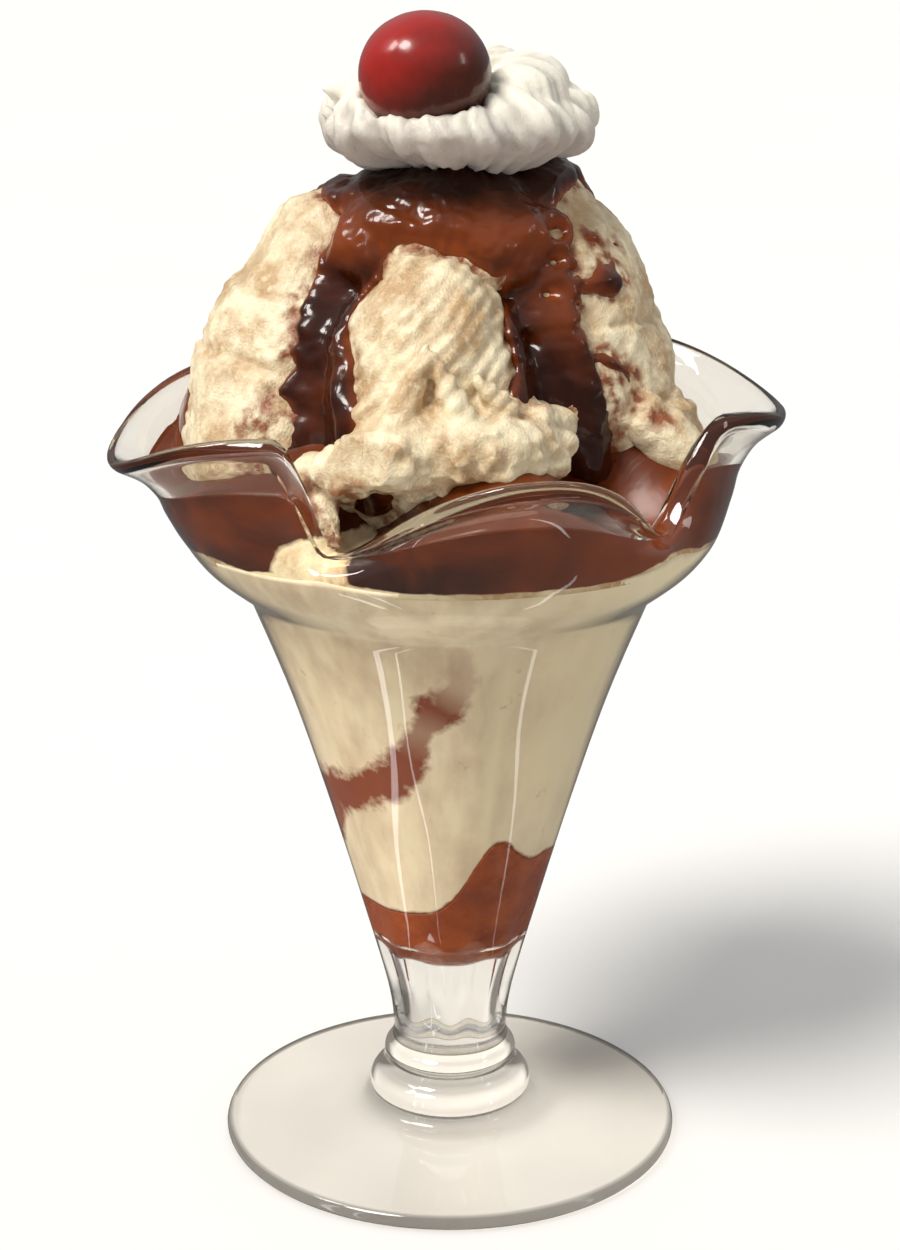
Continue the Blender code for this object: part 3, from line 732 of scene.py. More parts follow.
def cream_finish():
    """Soft whipped cream, with painted grey-mauve shade in its folds and on its underside."""
    made = Finish("whipped_cream")
    folds = made.spread(made.attribute("hollow"), 0.0, 1.0)
    clouds = made.spread(made.noise(170.0, detail=4.0), 0.35, 0.7, 0.0, 0.35)
    base = made.mixed(clouds, colours().cream_light, (0.760, 0.710, 0.630, 1.0))
    # Painted shade: cream_shade in the folds and on the underside.
    base = made.mixed(made.maths("MULTIPLY", folds, 0.85), base, colours().cream_shade)
    grain = made.maths("ADD", made.noise(560.0, detail=5.0, roughness=0.6), made.noise(1900.0, detail=2.0))
    made.shade(
        Base_Color=base,
        Roughness=made.spread(made.noise(400.0), 0.3, 0.7, 0.42, 0.60),
        Normal=made.bump(grain, 0.0004, 0.35),
    )
    made.shade(Subsurface_Weight=0.22, Subsurface_Scale=0.0025)
    made.shader.inputs["Subsurface Radius"].default_value = (1.0, 0.85, 0.7)
    return made.material


def cherry_finish():
    """A glossy cherry with a mottled skin, bright at the upper left in painted light and nearly black at the lower
    right in painted shade.
    """
    made = Finish("cherry_skin")
    position = made.node("ShaderNodeSeparateXYZ")
    made.feed(position.inputs[0], made.stretched((1.0, 1.0, 1.0), location=tuple(-CHERRY_CENTRE)))
    # Painted light and painted shade: lighter at the upper left, darker towards the lower right.
    painted_shade_slope = made.maths("SUBTRACT", made.maths("MULTIPLY", position.outputs["X"], 0.75), position.outputs["Z"])
    mottled = made.maths("ADD", painted_shade_slope, made.spread(made.noise(230.0, detail=3.0), 0.3, 0.7, -0.002, 0.002))
    base = made.mixed(made.spread(mottled, -0.0100, 0.0040), colours().cherry_lit, colours().cherry_shaded)
    made.shade(
        Base_Color=base,
        Roughness=made.spread(made.noise(300.0), 0.3, 0.7, 0.16, 0.28),
        Normal=made.bump(made.noise(260.0, detail=3.0), 0.0003, 0.35),
    )
    made.shade(Coat_Weight=0.2, Coat_Roughness=0.08, Specular_IOR_Level=0.35)
    return made.material


def floor_finish():
    made = Finish("pale_floor")
    tint = made.spread(made.noise(4.0, detail=2.0), 0.3, 0.7)
    made.shade(Base_Color=made.mixed(tint, colours().floor, (0.840, 0.830, 0.810, 1.0)), Roughness=0.85)
    return made.material


# ---- Pieces ----


def glass_outline():
    """The whole glass: underside, foot, knops, bowl, lip, inner side and cavity floor."""
    edge = arc(FOOT_RADIUS - FOOT_EDGE_RADIUS, FOOT_EDGE_RADIUS, FOOT_EDGE_RADIUS, -90, 80, 9)
    dome = eased_path([edge[-1], *FOOT_DOME])
    knops = arc(*LOWER_KNOP, -50, 60, 10) + arc(*UPPER_KNOP, -45, 55, 9)
    bowl = bowl_outline()
    inner = offset_inwards(bowl, 0.0)
    lip_middle = ((bowl[-1][0] + inner[-1][0]) / 2, (bowl[-1][1] + inner[-1][1]) / 2)
    lean = math.degrees(math.atan2(bowl[-1][1] - lip_middle[1], bowl[-1][0] - lip_middle[0]))
    lip = arc(*lip_middle, WALL_AT_RIM / 2, lean + 18, lean + 162, 8)
    inner_side = [point for point in reversed(inner) if point[1] > CAVITY_SIDE_HEIGHT + 0.0006]
    side_end = (cavity_radius(inner, CAVITY_SIDE_HEIGHT), CAVITY_SIDE_HEIGHT)
    floor = cavity_floor(side_end[0], 0.0, 10)
    return [(0.0, 0.0), *edge[:-1], *dome, *knops, *bowl, *lip, *inner_side, side_end, *floor]


def make_glass():
    bm = spun(glass_outline(), sizes().glass_columns)
    low, full, fading, top = FLUTE_HEIGHTS
    outline = bowl_outline()
    for vert in bm.verts:
        radius = math.hypot(vert.co.x, vert.co.y)
        if not low < vert.co.z < top or radius < cavity_radius(outline, vert.co.z) - WALL_AT_RIM / 2:
            continue
        depth = sizes().flute_depth * smooth_share(vert.co.z, low, full) * (1 - smooth_share(vert.co.z, fading, top))
        depth *= 1.0 + 0.8 * smooth_share(vert.co.z, 0.044, 0.034)
        turn = math.radians(angle_round(vert.co)) * FLUTES
        shrunk = (radius - depth * (0.5 - 0.5 * math.cos(turn))) / radius
        vert.co.x *= shrunk
        vert.co.y *= shrunk
    flat = [float(vert.co.z < 0.010 and vert.co.xy.length < FOOT_RADIUS - 0.001) for vert in bm.verts]
    # Painted shade: where nearly black rings go, at the foot's edge and in the creases by the knops.
    ring = []
    for vert in bm.verts:
        edge = smooth_share(vert.co.xy.length, FOOT_RADIUS - 0.0013, FOOT_RADIUS - 0.0004)
        creases = hump(1000.0 * vert.co.z, 12.8, 1.2) + hump(1000.0 * vert.co.z, 6.4, 0.7)
        ring.append(min(0.9, max(edge, creases)) if vert.co.z < 0.020 else 0.0)
    ruffle(bm)
    return piece(bm, "glass_clear", glass_finish(), "glass", "glass", flat=flat, ring=ring)


def syrup_surface(share, degrees):
    rise = sum(height * hump(degrees, middle, spread) for height, middle, spread in SYRUP_RISES)
    return SYRUP_LEVEL + rise * share**2


def cavity_bottom(share, degrees):
    depth = CAVITY_SIDE_HEIGHT - CAVITY_FLOOR_HEIGHT
    return CAVITY_SIDE_HEIGHT - depth * math.sqrt(max(0.0, 1.0 - share**2))


def make_syrup():
    bm = filling_mesh(cavity_bottom, syrup_surface, 0.0, 1.0, 14, 26, 128)
    return piece(bm, "syrup_in_tip", syrup_finish(), "syrup_base", "sauce")


def streak_at(co):
    """How far inside the syrup streak a point of the cone's side lies, and how strong the syrup is there."""
    best, strength = -1.0, 0.0
    side = offset_inwards(bowl_outline(), 0.0)
    for first, second in zip(SYRUP_STREAK, SYRUP_STREAK[1:]):
        start = on_circle(first[0], cavity_radius(side, first[1]), first[1])
        end = on_circle(second[0], cavity_radius(side, second[1]), second[1])
        along = end - start
        share = min(1.0, max(0.0, (co - start).dot(along) / along.length_squared))
        inside = 1.0 - (co - start - along * share).length / blend(first[2], second[2], share)
        if inside > best:
            best, strength = inside, blend(first[3], second[3], share)
    return best, strength


def make_cone_filling():
    bm = filling_mesh(syrup_surface, lambda share, degrees: POOL_FLOOR + 0.0008, 0.0, 1.0, 6, 110, 200)
    syrup, strengths, pale = [], [], []
    for vert in bm.verts:
        degrees = angle_round(vert.co)
        edge = smooth_share(vert.co.z, syrup_surface(1.0, degrees) + 0.0012, syrup_surface(1.0, degrees) - 0.0004)
        inside, strength = streak_at(vert.co)
        along_streak = 0.5 + 0.9 * inside
        syrup.append(max(edge, along_streak, 0.0))
        strengths.append(1.0 if edge > along_streak else strength)
        # Paler on the right, plus painted highlight streaks along the flutes' crests.
        right = hump(degrees, 50.0, 30.0)
        flute_highlight = max(0.0, math.cos(math.radians(degrees) * FLUTES + math.pi)) ** 6
        flute_highlight *= smooth_share(vert.co.z, 0.055, 0.065) * smooth_share(vert.co.z, 0.103, 0.096)
        pale.append(min(1.0, 0.8 * right * smooth_share(vert.co.z, 0.050, 0.075) + 0.55 * flute_highlight + 0.1))
    return piece(
        bm,
        "cone_filling",
        filling_finish(),
        "cone_ice_cream",
        "ice_cream",
        syrup=syrup,
        syrup_strength=strengths,
        pale=pale,
    )


def pool_surface(share, degrees):
    height, middle, spread = POOL_MOUND
    rising, level, end = POOL_MOUND_SHARES
    mound = height * hump(degrees, middle, spread)
    mound *= smooth_share(share, rising, level) * (1.0 - POOL_MOUND_FALL * smooth_share(share, level, end))
    height, middle, spread = POOL_SMEAR
    smear = height * hump(degrees, middle, spread) * smooth_share(share, 0.90, 0.99)
    level = blend(POOL_CENTRE_LEVEL, POOL_WALL_LEVEL, share**POOL_HOLLOW) + mound + smear
    return blend(level, min(level, POOL_TOP), smooth_share(share, 0.85, 0.95))


def make_sauce_pool():
    bm = filling_mesh(lambda share, degrees: POOL_FLOOR, pool_surface, 0.0, 1.0, 34, 26, 216)
    ruffle(bm)
    warm, bare = [], []
    for vert in bm.verts:
        degrees = angle_round(vert.co)
        if vert.normal.z > 0.5:
            vert.co.z += 0.0005 * rough(vert.co, 120.0)
        # Painted light: the sauce is warmer on the right, at a spot on the left and towards its top.
        right = hump(degrees, 42.0, 30.0)
        left = hump(degrees, -62.0, 11.0) * hump(1000.0 * vert.co.z, 120.0, 4.0)
        surface = 0.35 * smooth_share(vert.co.z, 0.118, 0.126)
        warm.append(min(1.0, 0.9 * right + 0.55 * left + surface * (1.0 - right)))
        pinched = hump(degrees, -30.0, 9.0) * (1.0 - smooth_share(vert.co.z, 0.1190, 0.1235))
        hem = (1.0 - smooth_share(vert.co.z, POOL_FLOOR + 0.0004, POOL_FLOOR + 0.0020 + 0.0012 * rough(vert.co, 90.0)))
        bare.append(max(1.25 * pinched, 0.9 * hem))
    return piece(bm, "sauce_in_glass", pool_finish(), "sauce_pool", "sauce", warm=warm, bare=bare)


def sauce_direction(co):
    """The direction of a point from the sauce's centre."""
    return (Vector(co) - SAUCE_CENTRE).normalized()


def from_sauce_centre(degrees, polar):
    turn, tip = math.radians(degrees), math.radians(polar)
    return Vector((math.sin(tip) * math.sin(turn), -math.sin(tip) * math.cos(turn), math.cos(tip)))


_chains = []


def sauce_cover(direction):
    """How many degrees inside the sauce's edge a direction lies; below 0 is bare."""
    if not _chains:
        for run in SAUCE_RUNS:
            for first, second in zip(run, run[1:]):
                start, end = from_sauce_centre(*first[:2]), from_sauce_centre(*second[:2])
                _chains.append((start, end - start, first[2], second[2]))
    best = -60.0
    for start, along, first_width, second_width in _chains:
        share = min(1.0, max(0.0, (direction - start).dot(along) / max(along.length_squared, 1e-9)))
        gap = (direction - start - along * share).length
        if gap < 1.2:
            best = max(best, blend(first_width, second_width, share) - math.degrees(2.0 * math.asin(gap / 2.0)))
    best += 2.4 * noise.noise(direction * 5.0) + 1.5 * noise.noise(direction * 11.0)
    best += 2.2 * (noise.ridged_multi_fractal(direction * 9.0, 1.0, 2.3, 4, 0.9, 2.0) / 2.0 - 0.5)
    for degrees, polar, width in SAUCE_HOLES:
        away = math.degrees((direction - from_sauce_centre(degrees, polar)).length)
        best = min(best, 1.3 * (away - width))
    return best


def make_stains(bm, covers, near_pool):
    """How much thin sauce stains each point: most along the sauce's edge, and some near the sauce pool."""
    stains = []
    for vert, cover in zip(bm.verts, covers):
        beside = smooth_share(cover, -4.5, -0.3)
        low = 1.0 - smooth_share(vert.co.z, 0.1235, 0.1300)
        spots = 0.9 * smooth_share(rough(vert.co, 170.0, 4.0), 0.30, 0.55) * hump(1000.0 * vert.co.z, 139.0, 6.0)
        stains.append(min(1.0, max(beside, near_pool * max(0.8 * low, spots))))
    return stains


def scoop_mesh(name, skirted=True):
    """A pressed egg of ice cream with lumps, and a torn skirt low down where the scoop has one."""
    centre, half, depth, lean, taper, skirt = SCOOPS[name]
    bm = bmesh.new()
    bmesh.ops.create_uvsphere(bm, u_segments=120, v_segments=80, radius=1.0)
    turn = Matrix.Rotation(math.radians(lean), 3, "Y")
    middle = Vector(centre)
    for vert in bm.verts:
        egg = vert.co.copy()
        narrowed = 1.0 - taper * egg.z
        height = egg.z * (half[2] if egg.z > 0 else depth)
        spot = turn @ Vector((egg.x * half[0] * narrowed, egg.y * half[1] * narrowed, height))
        droop, first, last = SKIRT_DROOP
        level = SKIRT_LEVEL - droop * smooth_share(-math.degrees(math.atan2(egg.x, -egg.y)), first, last)
        torn = math.exp(-(((math.asin(max(-1.0, min(1.0, egg.z))) - level) / SKIRT_SPREAD) ** 4))
        facing = SKIRT_FACING[0] - SKIRT_FACING[1] * egg.y
        ragged = 1.0 + SKIRT_RAGGEDNESS * noise.noise(Vector((egg.x, egg.y, SKIRT_LEVEL)) * SKIRT_RAG_SCALE)
        spot += Vector((egg.x, egg.y, 0.0)) * skirt * torn * facing * ragged * skirted
        lump = noise.noise((middle + spot) * SCOOP_LUMP_SCALE)
        vert.co = middle + spot + spot.normalized() * SCOOP_LUMP * lump
    return bm


def add_front_details(bm):
    """The torn skirt's lumps, its turned-up flap and the ice cream that has slipped to the rim."""
    steady = random.Random(SEED)
    tree = BVHTree.FromBMesh(bm)
    for i in range(70):
        degrees = steady.uniform(-46.0, 32.0)
        height = steady.uniform(0.1290, 0.1405)
        outwards = on_circle(degrees, 1.0, 0.0)
        hit = tree.ray_cast(Vector((0.0, -0.006, height)) + outwards * 0.08, -outwards)[0]
        if hit:
            size = steady.uniform(0.0008, 0.0021) * (1.25 if degrees > 14.0 else 1.0)
            ball(bm, hit - outwards * 0.3 * size, (size, size, size * steady.uniform(0.7, 1.1)), subdivisions=2)
    for centre, size in (
        ((-0.0222, -0.0300, 0.1312), 0.0040),
        ((-0.0190, -0.0335, 0.1325), 0.0034),
        ((0.0150, -0.0300, 0.1335), 0.0042),
        ((0.0178, -0.0272, 0.1355), 0.0030),
        ((0.0128, -0.0285, 0.1395), 0.0026),
        ((0.0105, -0.0300, 0.1420), 0.0018),
        ((0.0125, -0.0330, 0.1305), 0.0032),
    ):
        ball(bm, centre, size, subdivisions=2)
    chain(bm, (-0.0078, -0.0366, 0.1420), (-0.0034, -0.0350, 0.1530), 0.0032, 0.0008)
    chain(bm, (0.0016, -0.0364, 0.1418), (-0.0026, -0.0352, 0.1512), 0.0030, 0.0010)
    chain(bm, (0.0085, -0.0335, 0.1425), (0.0040, -0.0345, 0.1478), 0.0024, 0.0009)
    chain(bm, (-0.0135, -0.0335, 0.1420), (-0.0100, -0.0340, 0.1455), 0.0024, 0.0010)
    chain(bm, (-0.0215, -0.0310, 0.1275), (-0.0185, -0.0365, 0.1215), 0.0030, 0.0020)


def add_right_details(bm):
    """The right scoop's melted foot."""
    chain(bm, (0.0330, -0.0120, 0.1370), (0.0405, -0.0110, 0.1295), 0.0040, 0.0028)
    chain(bm, (0.0360, -0.0040, 0.1360), (0.0395, -0.0030, 0.1300), 0.0042, 0.0030)


def scoop_relief(name):
    """The height field of a scoop's torn skin."""
    crumb = sizes().crumb_height

    def front(co, cover):
        across = (co.z - co.x) * 0.7071
        wander = rough(co, 90.0, 1.0) * 2.2 + rough(co, 260.0, 2.0) * 0.7
        combed = math.sin(across * 2.0 * math.pi / 0.0024 + wander)
        drawn = Vector((across * 520.0, (co.x + co.z) * 60.0, co.y * 200.0))
        dome = smooth_share(co.z, 0.1405, 0.1445)
        height = dome * (0.00020 * combed + 0.00055 * noise.noise(drawn))
        height += crumb * (1.25 - 0.85 * dome) * (crumbs(co, 300.0) - 0.5)
        return height + crumb * (1.6 - 0.8 * dome) * rough(co, 170.0, 5.0) + 0.5 * crumb * rough(co, 620.0, 7.0)

    def side(co, cover):
        drawn = Vector((co.x, co.y, co.z * 0.35))
        height = crumb * (1.2 * rough(drawn, 210.0, 3.0) + 1.1 * (crumbs(co, 230.0) - 0.5))
        height += 0.0013 * rough(co, 85.0, 9.0) + 0.5 * crumb * rough(co, 620.0, 7.0)
        bare = smooth_share(cover, 1.0, -5.0)
        ledge = co.z + 0.10 * co.x + 0.0035 * rough(co, 60.0, 12.0)
        lower = smooth_share(co.x, -0.046, -0.038) * smooth_share(ledge, 0.1415, 0.1400)
        height += bare * (0.0011 * lower - 0.0005 * hump(ledge * 1000.0, 142.0, 0.8))
        return height + bare * (0.0006 * smooth_share(ledge, 0.1560, 0.1548) - 0.0003 * hump(ledge * 1000.0, 156.4, 0.8))

    return front if name == "scoop_front" else side


def make_scoop(name, finish):
    bm = scoop_mesh(name)
    if name == "scoop_front":
        add_front_details(bm)
    if name == "scoop_right":
        add_right_details(bm)
    grain = sizes().scoop_grain
    bm = fused(bm, grain, 2)
    relief = scoop_relief(name)
    if name == "scoop_left":
        for vert in bm.verts:
            vert.co.x = max(vert.co.x, blend(vert.co.x, SCOOP_LEFT_LIMIT, 0.6))
    covers = [sauce_cover(sauce_direction(vert.co)) for vert in bm.verts]
    heights = skin_moved(bm, [relief(vert.co, cover) for vert, cover in zip(bm.verts, covers)])
    pressed_on_glass(bm, 0.0001)
    spread = 2.2 * sizes().crumb_height
    # Painted shade: the dips in the relief, darkened in the finish.
    hollow = [smooth_share(-height, -0.2 * spread, spread) for height in heights]
    stain = make_stains(bm, covers, 1.0)
    if name == "scoop_front":
        clean = [smooth_share(vert.co.z, 0.1310, 0.1340) * smooth_share(vert.co.z, 0.1440, 0.1405) for vert in bm.verts]
        stain = [0.8 * value * (1.0 - share) for value, share in zip(stain, clean)]
    return piece(bm, name + "_skin", finish, name, "ice_cream", hollow=hollow, stain=stain)


def heap_tree():
    """A tree of the plain scoops, for laying the sauce on them."""
    heap = bmesh.new()
    for name in ("scoop_front", "scoop_left", "scoop_right", "scoop_top"):
        solid = scoop_mesh(name, skirted=False)
        mesh = bpy.data.meshes.new("heap")
        solid.to_mesh(mesh)
        solid.free()
        heap.from_mesh(mesh)
        bpy.data.meshes.remove(mesh)
    tree = BVHTree.FromBMesh(heap)
    heap.free()
    return tree


def blurred(grid, passes):
    """The grid smoothed, round and round in its first direction."""
    for _ in range(passes):
        beside = np.roll(grid, 1, axis=0) + np.roll(grid, -1, axis=0)
        padded = np.pad(grid, ((0, 0), (1, 1)), mode="edge")
        above = padded[:, :-2] + padded[:, 2:]
        grid = 0.5 * grid + 0.125 * (beside + above)
    return grid


def make_sauce_cap():
    """Sauce laid over the heap: a thick skin inside its edge, which dips under the ice cream outside it."""
    columns, rows = 330, 190
    tree = heap_tree()
    reach = np.zeros((columns, rows + 1))
    cover = np.zeros((columns, rows + 1))
    for i in range(columns):
        for j in range(rows + 1):
            direction = from_sauce_centre(360.0 * i / columns, SAUCE_REACH_DEGREES * j / rows)
            hit = tree.ray_cast(SAUCE_CENTRE + direction * 0.1, -direction)[0]
            reach[i, j] = (hit - SAUCE_CENTRE).length if hit else 0.02
            cover[i, j] = sauce_cover(direction)
    reach = blurred(np.maximum(reach, blurred(reach, 60) - 0.0004), 6)
    inside = np.clip(cover / SAUCE_EDGE_DEGREES, 0.0, 1.0)
    rounded = 0.45 * np.sqrt(1.0 - (1.0 - inside) ** 2) + 0.55 * inside
    outside = np.clip(-cover / 1.2, 0.0, 1.0)
    lift = blurred(np.where(cover > 0.0, sizes().sauce_thickness * rounded, -0.0020 * outside), 1)
    bm = bmesh.new()
    bmesh.ops.create_uvsphere(bm, u_segments=columns, v_segments=rows + 2, radius=1.0)
    warmth = bm.verts.layers.float.new("warm")
    for vert in bm.verts:
        polar = math.acos(max(-1.0, min(1.0, vert.co.z)))
        j = round(polar / math.pi * (rows + 2))
        i = round(angle_round(vert.co) / 360.0 * columns) % columns
        if j > rows:
            vert.co = SAUCE_CENTRE
            continue
        direction = from_sauce_centre(360.0 * i / columns, SAUCE_REACH_DEGREES * j / rows)
        swell = 1.0 + 0.30 * noise.noise(direction * 7.0) + 0.12 * noise.noise(direction * 19.0)
        swell += 0.7 * smooth_share(SAUCE_REACH_DEGREES * j / rows, 70.0, 96.0)
        level = lift[i, j] * (swell if lift[i, j] > 0.0 else 1.0)
        vert.co = SAUCE_CENTRE + direction * (reach[i, j] + level)
        vert[warmth] = sauce_warmth(vert.co, float(cover[i, j]))
    bmesh.ops.remove_doubles(bm, verts=bm.verts, dist=1e-7)
    bm.normal_update()
    return piece(bm, "sauce_over_scoops", sauce_finish(), "sauce_cap", "sauce")


def sauce_warmth(co, cover):
    """How the sauce's colour runs: warm at its thin edges, warm with painted light in the band under the cream and low
    on the right, and dark with painted shade just under the cream and in a pocket beside the right scoop.
    """
    thin = 1.0 - smooth_share(cover, 0.0, 3.4)
    front = smooth_share(-co.y, 0.002, 0.010)
    # Painted light: the band under the cream and the patch low on the right are warmer.
    band = hump(1000.0 * co.z, 168.5, 4.8) * front
    right = hump(angle_round(co), 46.0, 12.0) * hump(1000.0 * co.z, 155.0, 8.0)
    # Painted shade: a dark pocket beside the right scoop and a dark band just under the cream.
    hollow = hump(angle_round(co), 48.0, 16.0) * hump(1000.0 * co.z, 137.0, 8.0)
    under_cream = smooth_share(co.z, 0.1725, 0.1765)
    warmth = min(1.0, 0.65 * thin + 0.75 * band + 0.45 * right) * (1.0 - under_cream)
    return warmth - 0.4 * under_cream - 0.5 * hollow


def make_whipped_cream():
    steady = random.Random(SEED + 1)
    bm = fused(cad_mesh("whipped_cream"), 0.0010, 4)
    for i in range(17):
        degrees = 360.0 * i / 17 + steady.uniform(-7.0, 7.0)
        centre = CREAM_CENTRE + on_circle(degrees, steady.uniform(0.0165, 0.0188), steady.uniform(-0.0014, 0.0016))
        size = steady.uniform(0.0036, 0.0050)
        ball(bm, centre, (size, size, size * 0.9))
    for degrees, radius, height, size in (
        (70, 0.0125, 0.0052, 0.0066),
        (105, 0.0120, 0.0058, 0.0066),
        (140, 0.0090, 0.0060, 0.0070),
        (-165, 0.0100, 0.0045, 0.0066),
        (-100, 0.0135, 0.0030, 0.0056),
        (40, 0.0150, 0.0022, 0.0052),
        (-60, 0.0150, 0.0010, 0.0052),
        (-25, 0.0165, -0.0010, 0.0046),
        (12, 0.0165, -0.0005, 0.0048),
    ):
        ball(bm, CREAM_CENTRE + on_circle(degrees, radius, height), (size, size, size * 0.8))
    for degrees, height in ((-78, 0.0040), (-88, -0.0005), (-72, 0.0015)):
        start = CREAM_CENTRE + on_circle(degrees, 0.0175, height)
        chain(bm, start, start + on_circle(degrees, 0.0048, 0.0018), 0.0020, 0.0005)
    bm = fused(bm, sizes().cream_grain, 3)
    for vert in bm.verts:
        front = smooth_share(-vert.co.y, 0.003, 0.013)
        vert.co.z += 0.0013 * front * smooth_share(-vert.co.z, -0.1850, -0.1800)

    def folds(co):
        spot = co - CREAM_CENTRE
        turn = math.atan2(spot.y, spot.x)
        swirl = Vector((spot.x, spot.y, spot.z * 1.8))
        furrow = math.sin(21.0 * turn + 260.0 * spot.z + 4.0 * rough(swirl, 90.0, 2.0))
        fine = math.sin(57.0 * turn + 500.0 * spot.z + 5.0 * rough(swirl, 130.0, 3.0))
        height = 0.00040 * furrow + 0.00014 * fine + 0.0007 * rough(swirl, 120.0, 6.0)
        return height + 0.00012 * rough(co, 600.0, 8.0)

    heights = skin_moved(bm, [folds(vert.co) for vert in bm.verts])
    # Painted shade: darker in the dips between folds and towards the cream's underside.
    hollow = [smooth_share(-height, -0.0002, 0.0009) for height in heights]
    under = [1.0 - smooth_share(vert.co.z, 0.1795, 0.1895) for vert in bm.verts]
    hollow = [min(1.0, 0.55 * a + 1.1 * b) for a, b in zip(hollow, under)]
    return piece(bm, "cream_dollop", cream_finish(), "whipped_cream", "cream", hollow=hollow)


def make_cherry():
    bm = bmesh.new()
    bmesh.ops.create_uvsphere(bm, u_segments=96, v_segments=64, radius=1.0)
    lean = Matrix.Rotation(math.radians(CHERRY_LEAN_DEGREES), 3, "X")
    for vert in bm.verts:
        spot = vert.co.copy()
        off_axis = math.hypot(spot.x, spot.y) / CHERRY_DIMPLE_RADIUS
        dimple = 0.0 if spot.z < 0 else CHERRY_DIMPLE * math.exp(-(off_axis**2))
        uneven = 1.0 + 0.012 * noise.noise(spot * 1.7) + 0.004 * noise.noise(spot * 5.0)
        shaped = Vector([spot[i] * CHERRY_SIZE[i] * uneven for i in range(3)])
        shaped.z -= dimple
        vert.co = CHERRY_CENTRE + lean @ shaped
    bm.normal_update()
    return piece(bm, "cherry_on_top", cherry_finish(), "cherry", "cherry")


# ---- Stage ----


def aimed_at(location, target):
    return (Vector(target) - Vector(location)).to_track_quat("-Z", "Y").to_euler()


def add_lamp(name, location, target, size, power, colour=(1.0, 1.0, 1.0)):
    lamp = bpy.data.lights.new(name, "AREA")
    lamp.shape = "RECTANGLE"
    lamp.size, lamp.size_y = size
    lamp.energy = power
    lamp.color = colour
    obj = bpy.data.objects.new(name, lamp)
    obj.location = location
    obj.rotation_euler = aimed_at(location, target)
    bpy.context.scene.collection.objects.link(obj)
    return obj


def make_stage():
    bm = bmesh.new()
    bmesh.ops.create_grid(bm, x_segments=2, y_segments=2, size=40.0)
    mesh = bpy.data.meshes.new("floor")
    bm.to_mesh(mesh)
    bm.free()
    mesh.materials.append(floor_finish())
    floor = bpy.data.objects.new("floor", mesh)
    floor.location.z = 0.00005
    floor.visible_glossy = False
    bpy.context.scene.collection.objects.link(floor)

    middle = (0.0, 0.0, 0.12)
    sun = bpy.data.lights.new("soft_sun", "SUN")
    sun.energy, sun.angle, sun.color = 3.1, math.radians(22.0), (1.0, 0.97, 0.92)
    obj = bpy.data.objects.new("soft_sun", sun)
    obj.rotation_euler = aimed_at((-0.46, -0.40, 0.79), (0.0, 0.0, 0.0))
    bpy.context.scene.collection.objects.link(obj)
    for name, place, size, power in (
        ("left_softbox", (-0.56, -0.12, 0.70), (0.14, 0.22), 1.8),
        ("right_softbox", (0.60, -0.20, 0.45), (0.10, 0.20), 0.35),
    ):
        add_lamp(name, place, middle, size, power, (1.0, 0.97, 0.92)).visible_diffuse = False
    for degrees, width, power in ((-46.0, 0.006, 0.006), (-34.0, 0.002, 0.002), (54.0, 0.004, 0.003)):
        place = on_circle(degrees, 0.085, 0.003)
        strip = add_lamp("low_strip", place, (0.0, 0.0, place.z + 0.06), (width, 0.080), power)
        strip.data.shape = "ELLIPSE"
        strip.visible_camera = strip.visible_transmission = strip.visible_diffuse = False

    world = bpy.data.worlds.new("studio")
    world.use_nodes = True
    nodes, links = world.node_tree.nodes, world.node_tree.links
    background = nodes["Background"]
    direction = nodes.new("ShaderNodeTexCoord")
    height = nodes.new("ShaderNodeSeparateXYZ")
    sky = nodes.new("ShaderNodeValToRGB")
    path = nodes.new("ShaderNodeLightPath")
    mix = nodes.new("ShaderNodeMix")
    mix.data_type = "RGBA"
    links.new(direction.outputs["Generated"], height.inputs[0])
    links.new(height.outputs["Z"], sky.inputs["Fac"])
    seen = nodes.new("ShaderNodeMath")
    seen.operation = "MULTIPLY_ADD"
    seen.use_clamp = True
    links.new(path.outputs["Is Transmission Ray"], seen.inputs[0])
    seen.inputs[1].default_value = 0.65
    links.new(path.outputs["Is Camera Ray"], seen.inputs[2])
    links.new(seen.outputs["Value"], mix.inputs["Factor"])
    links.new(sky.outputs["Color"], mix.inputs[6])
    mix.inputs[7].default_value = (1.00, 0.99, 0.965, 1.0)
    links.new(mix.outputs[2], background.inputs["Color"])
    ramp = sky.color_ramp
    ramp.elements[0].position, ramp.elements[0].color = 0.0, (0.20, 0.20, 0.20, 1.0)
    ramp.elements[1].position, ramp.elements[1].color = 0.75, (0.55, 0.56, 0.58, 1.0)
    bpy.context.scene.world = world
    bpy.context.scene.view_settings.view_transform = "Standard"

    camera = bpy.data.cameras.new("camera")
    camera.sensor_width = 36.0
    camera.lens = 73.4
    camera.clip_start = 0.01
    obj = bpy.data.objects.new("camera", camera)
    obj.location = (0.0, -0.430, 0.2277)
    obj.rotation_euler = (math.radians(90.0 - 16.95), 0.0, 0.0)
    bpy.context.scene.collection.objects.link(obj)
    bpy.context.scene.camera = obj


# ---- Operators and panel ----


class SUNDAE_OT_glass(bpy.types.Operator):
    """Build the clear footed glass with its ruffled rim"""

    bl_idname = "sundae.glass"
    bl_label = "Glass"

    def execute(self, context):
        make_glass()
        return {"FINISHED"}


class SUNDAE_OT_fillings(bpy.types.Operator):
    """Build the syrup, the ice cream and the sauce that fill the glass"""

    bl_idname = "sundae.fillings"
    bl_label = "Fillings"

    def execute(self, context):
        make_syrup()
        make_cone_filling()
        make_sauce_pool()
        return {"FINISHED"}


class SUNDAE_OT_scoops(bpy.types.Operator):
    """Build the four scoops of ice cream"""

    bl_idname = "sundae.scoops"
    bl_label = "Scoops"

    def execute(self, context):
        finish = ice_cream_finish()
        for name in ("scoop_front", "scoop_left", "scoop_right", "scoop_top"):
            make_scoop(name, finish)
        return {"FINISHED"}


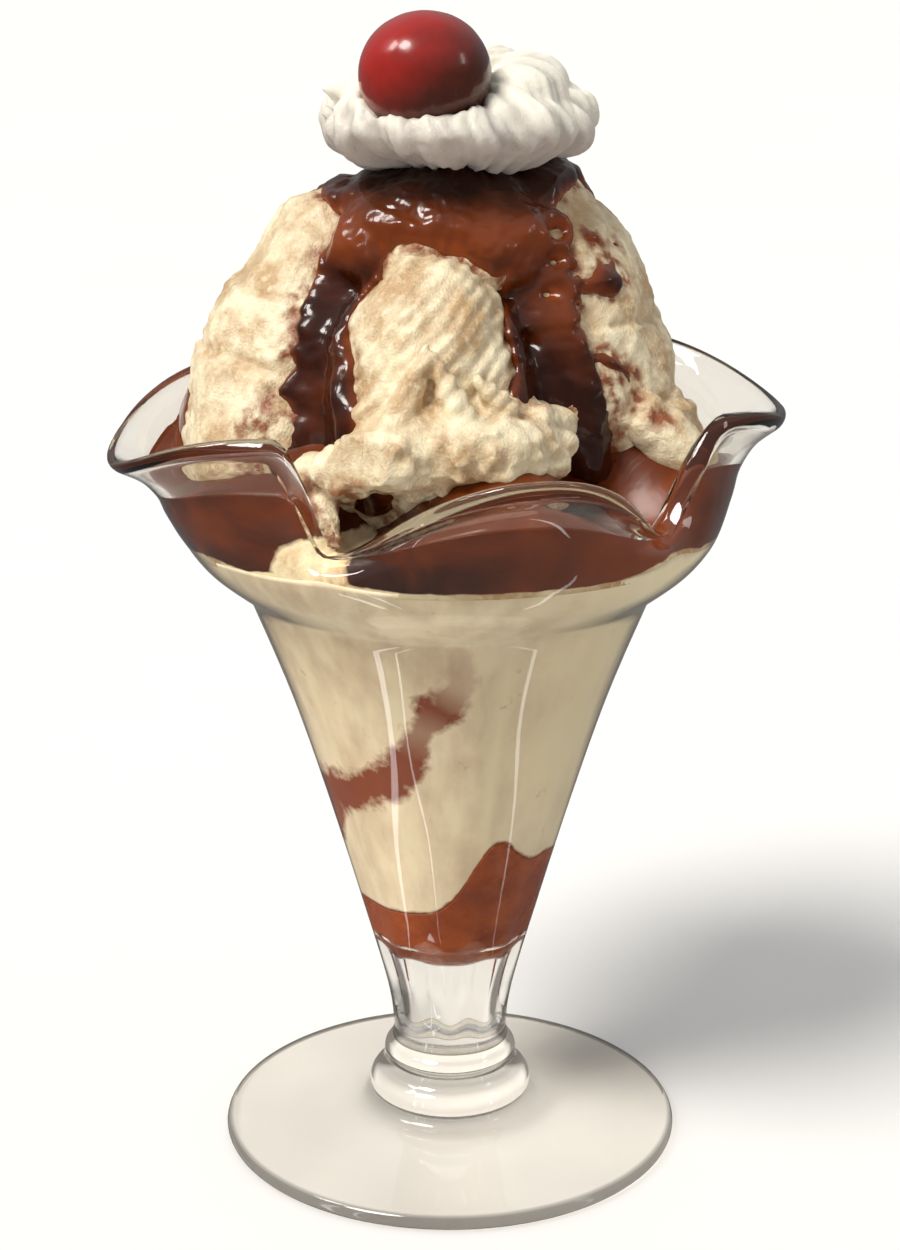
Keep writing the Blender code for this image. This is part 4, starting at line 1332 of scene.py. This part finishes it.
class SUNDAE_OT_sauce(bpy.types.Operator):
    """Build the sauce that runs over the scoops"""

    bl_idname = "sundae.sauce"
    bl_label = "Sauce over the scoops"

    def execute(self, context):
        make_sauce_cap()
        return {"FINISHED"}


class SUNDAE_OT_topping(bpy.types.Operator):
    """Build the whipped cream and the cherry"""

    bl_idname = "sundae.topping"
    bl_label = "Whipped cream and cherry"

    def execute(self, context):
        make_whipped_cream()
        make_cherry()
        return {"FINISHED"}


class SUNDAE_OT_stage(bpy.types.Operator):
    """Set up the floor, the lamps and the camera"""

    bl_idname = "sundae.stage"
    bl_label = "Stage"

    def execute(self, context):
        make_stage()
        return {"FINISHED"}


OPERATORS = (
    SUNDAE_OT_glass,
    SUNDAE_OT_fillings,
    SUNDAE_OT_scoops,
    SUNDAE_OT_sauce,
    SUNDAE_OT_topping,
    SUNDAE_OT_stage,
)


class SUNDAE_PT_panel(bpy.types.Panel):
    """Lists the sundae's pieces and settings"""

    bl_idname = "SUNDAE_PT_panel"
    bl_label = "Ice cream sundae"
    bl_space_type = "VIEW_3D"
    bl_region_type = "UI"
    bl_category = "Sundae"

    def draw(self, context):
        for operator in OPERATORS:
            self.layout.operator(operator.bl_idname)
        for group in (context.scene.sundae_sizes, context.scene.sundae_colours):
            for key in group.__annotations__:
                self.layout.prop(group, key)


CLASSES = (SundaeSizes, SundaeColours, *OPERATORS, SUNDAE_PT_panel)


def register():
    for cls in CLASSES:
        bpy.utils.register_class(cls)
    bpy.types.Scene.sundae_sizes = bpy.props.PointerProperty(type=SundaeSizes)
    bpy.types.Scene.sundae_colours = bpy.props.PointerProperty(type=SundaeColours)


def unregister():
    del bpy.types.Scene.sundae_colours
    del bpy.types.Scene.sundae_sizes
    for cls in reversed(CLASSES):
        bpy.utils.unregister_class(cls)


def main():
    register()
    bpy.ops.sundae.glass()
    bpy.ops.sundae.fillings()
    bpy.ops.sundae.scoops()
    bpy.ops.sundae.sauce()
    bpy.ops.sundae.topping()
    bpy.ops.sundae.stage()


if __name__ == "__main__":
    main()
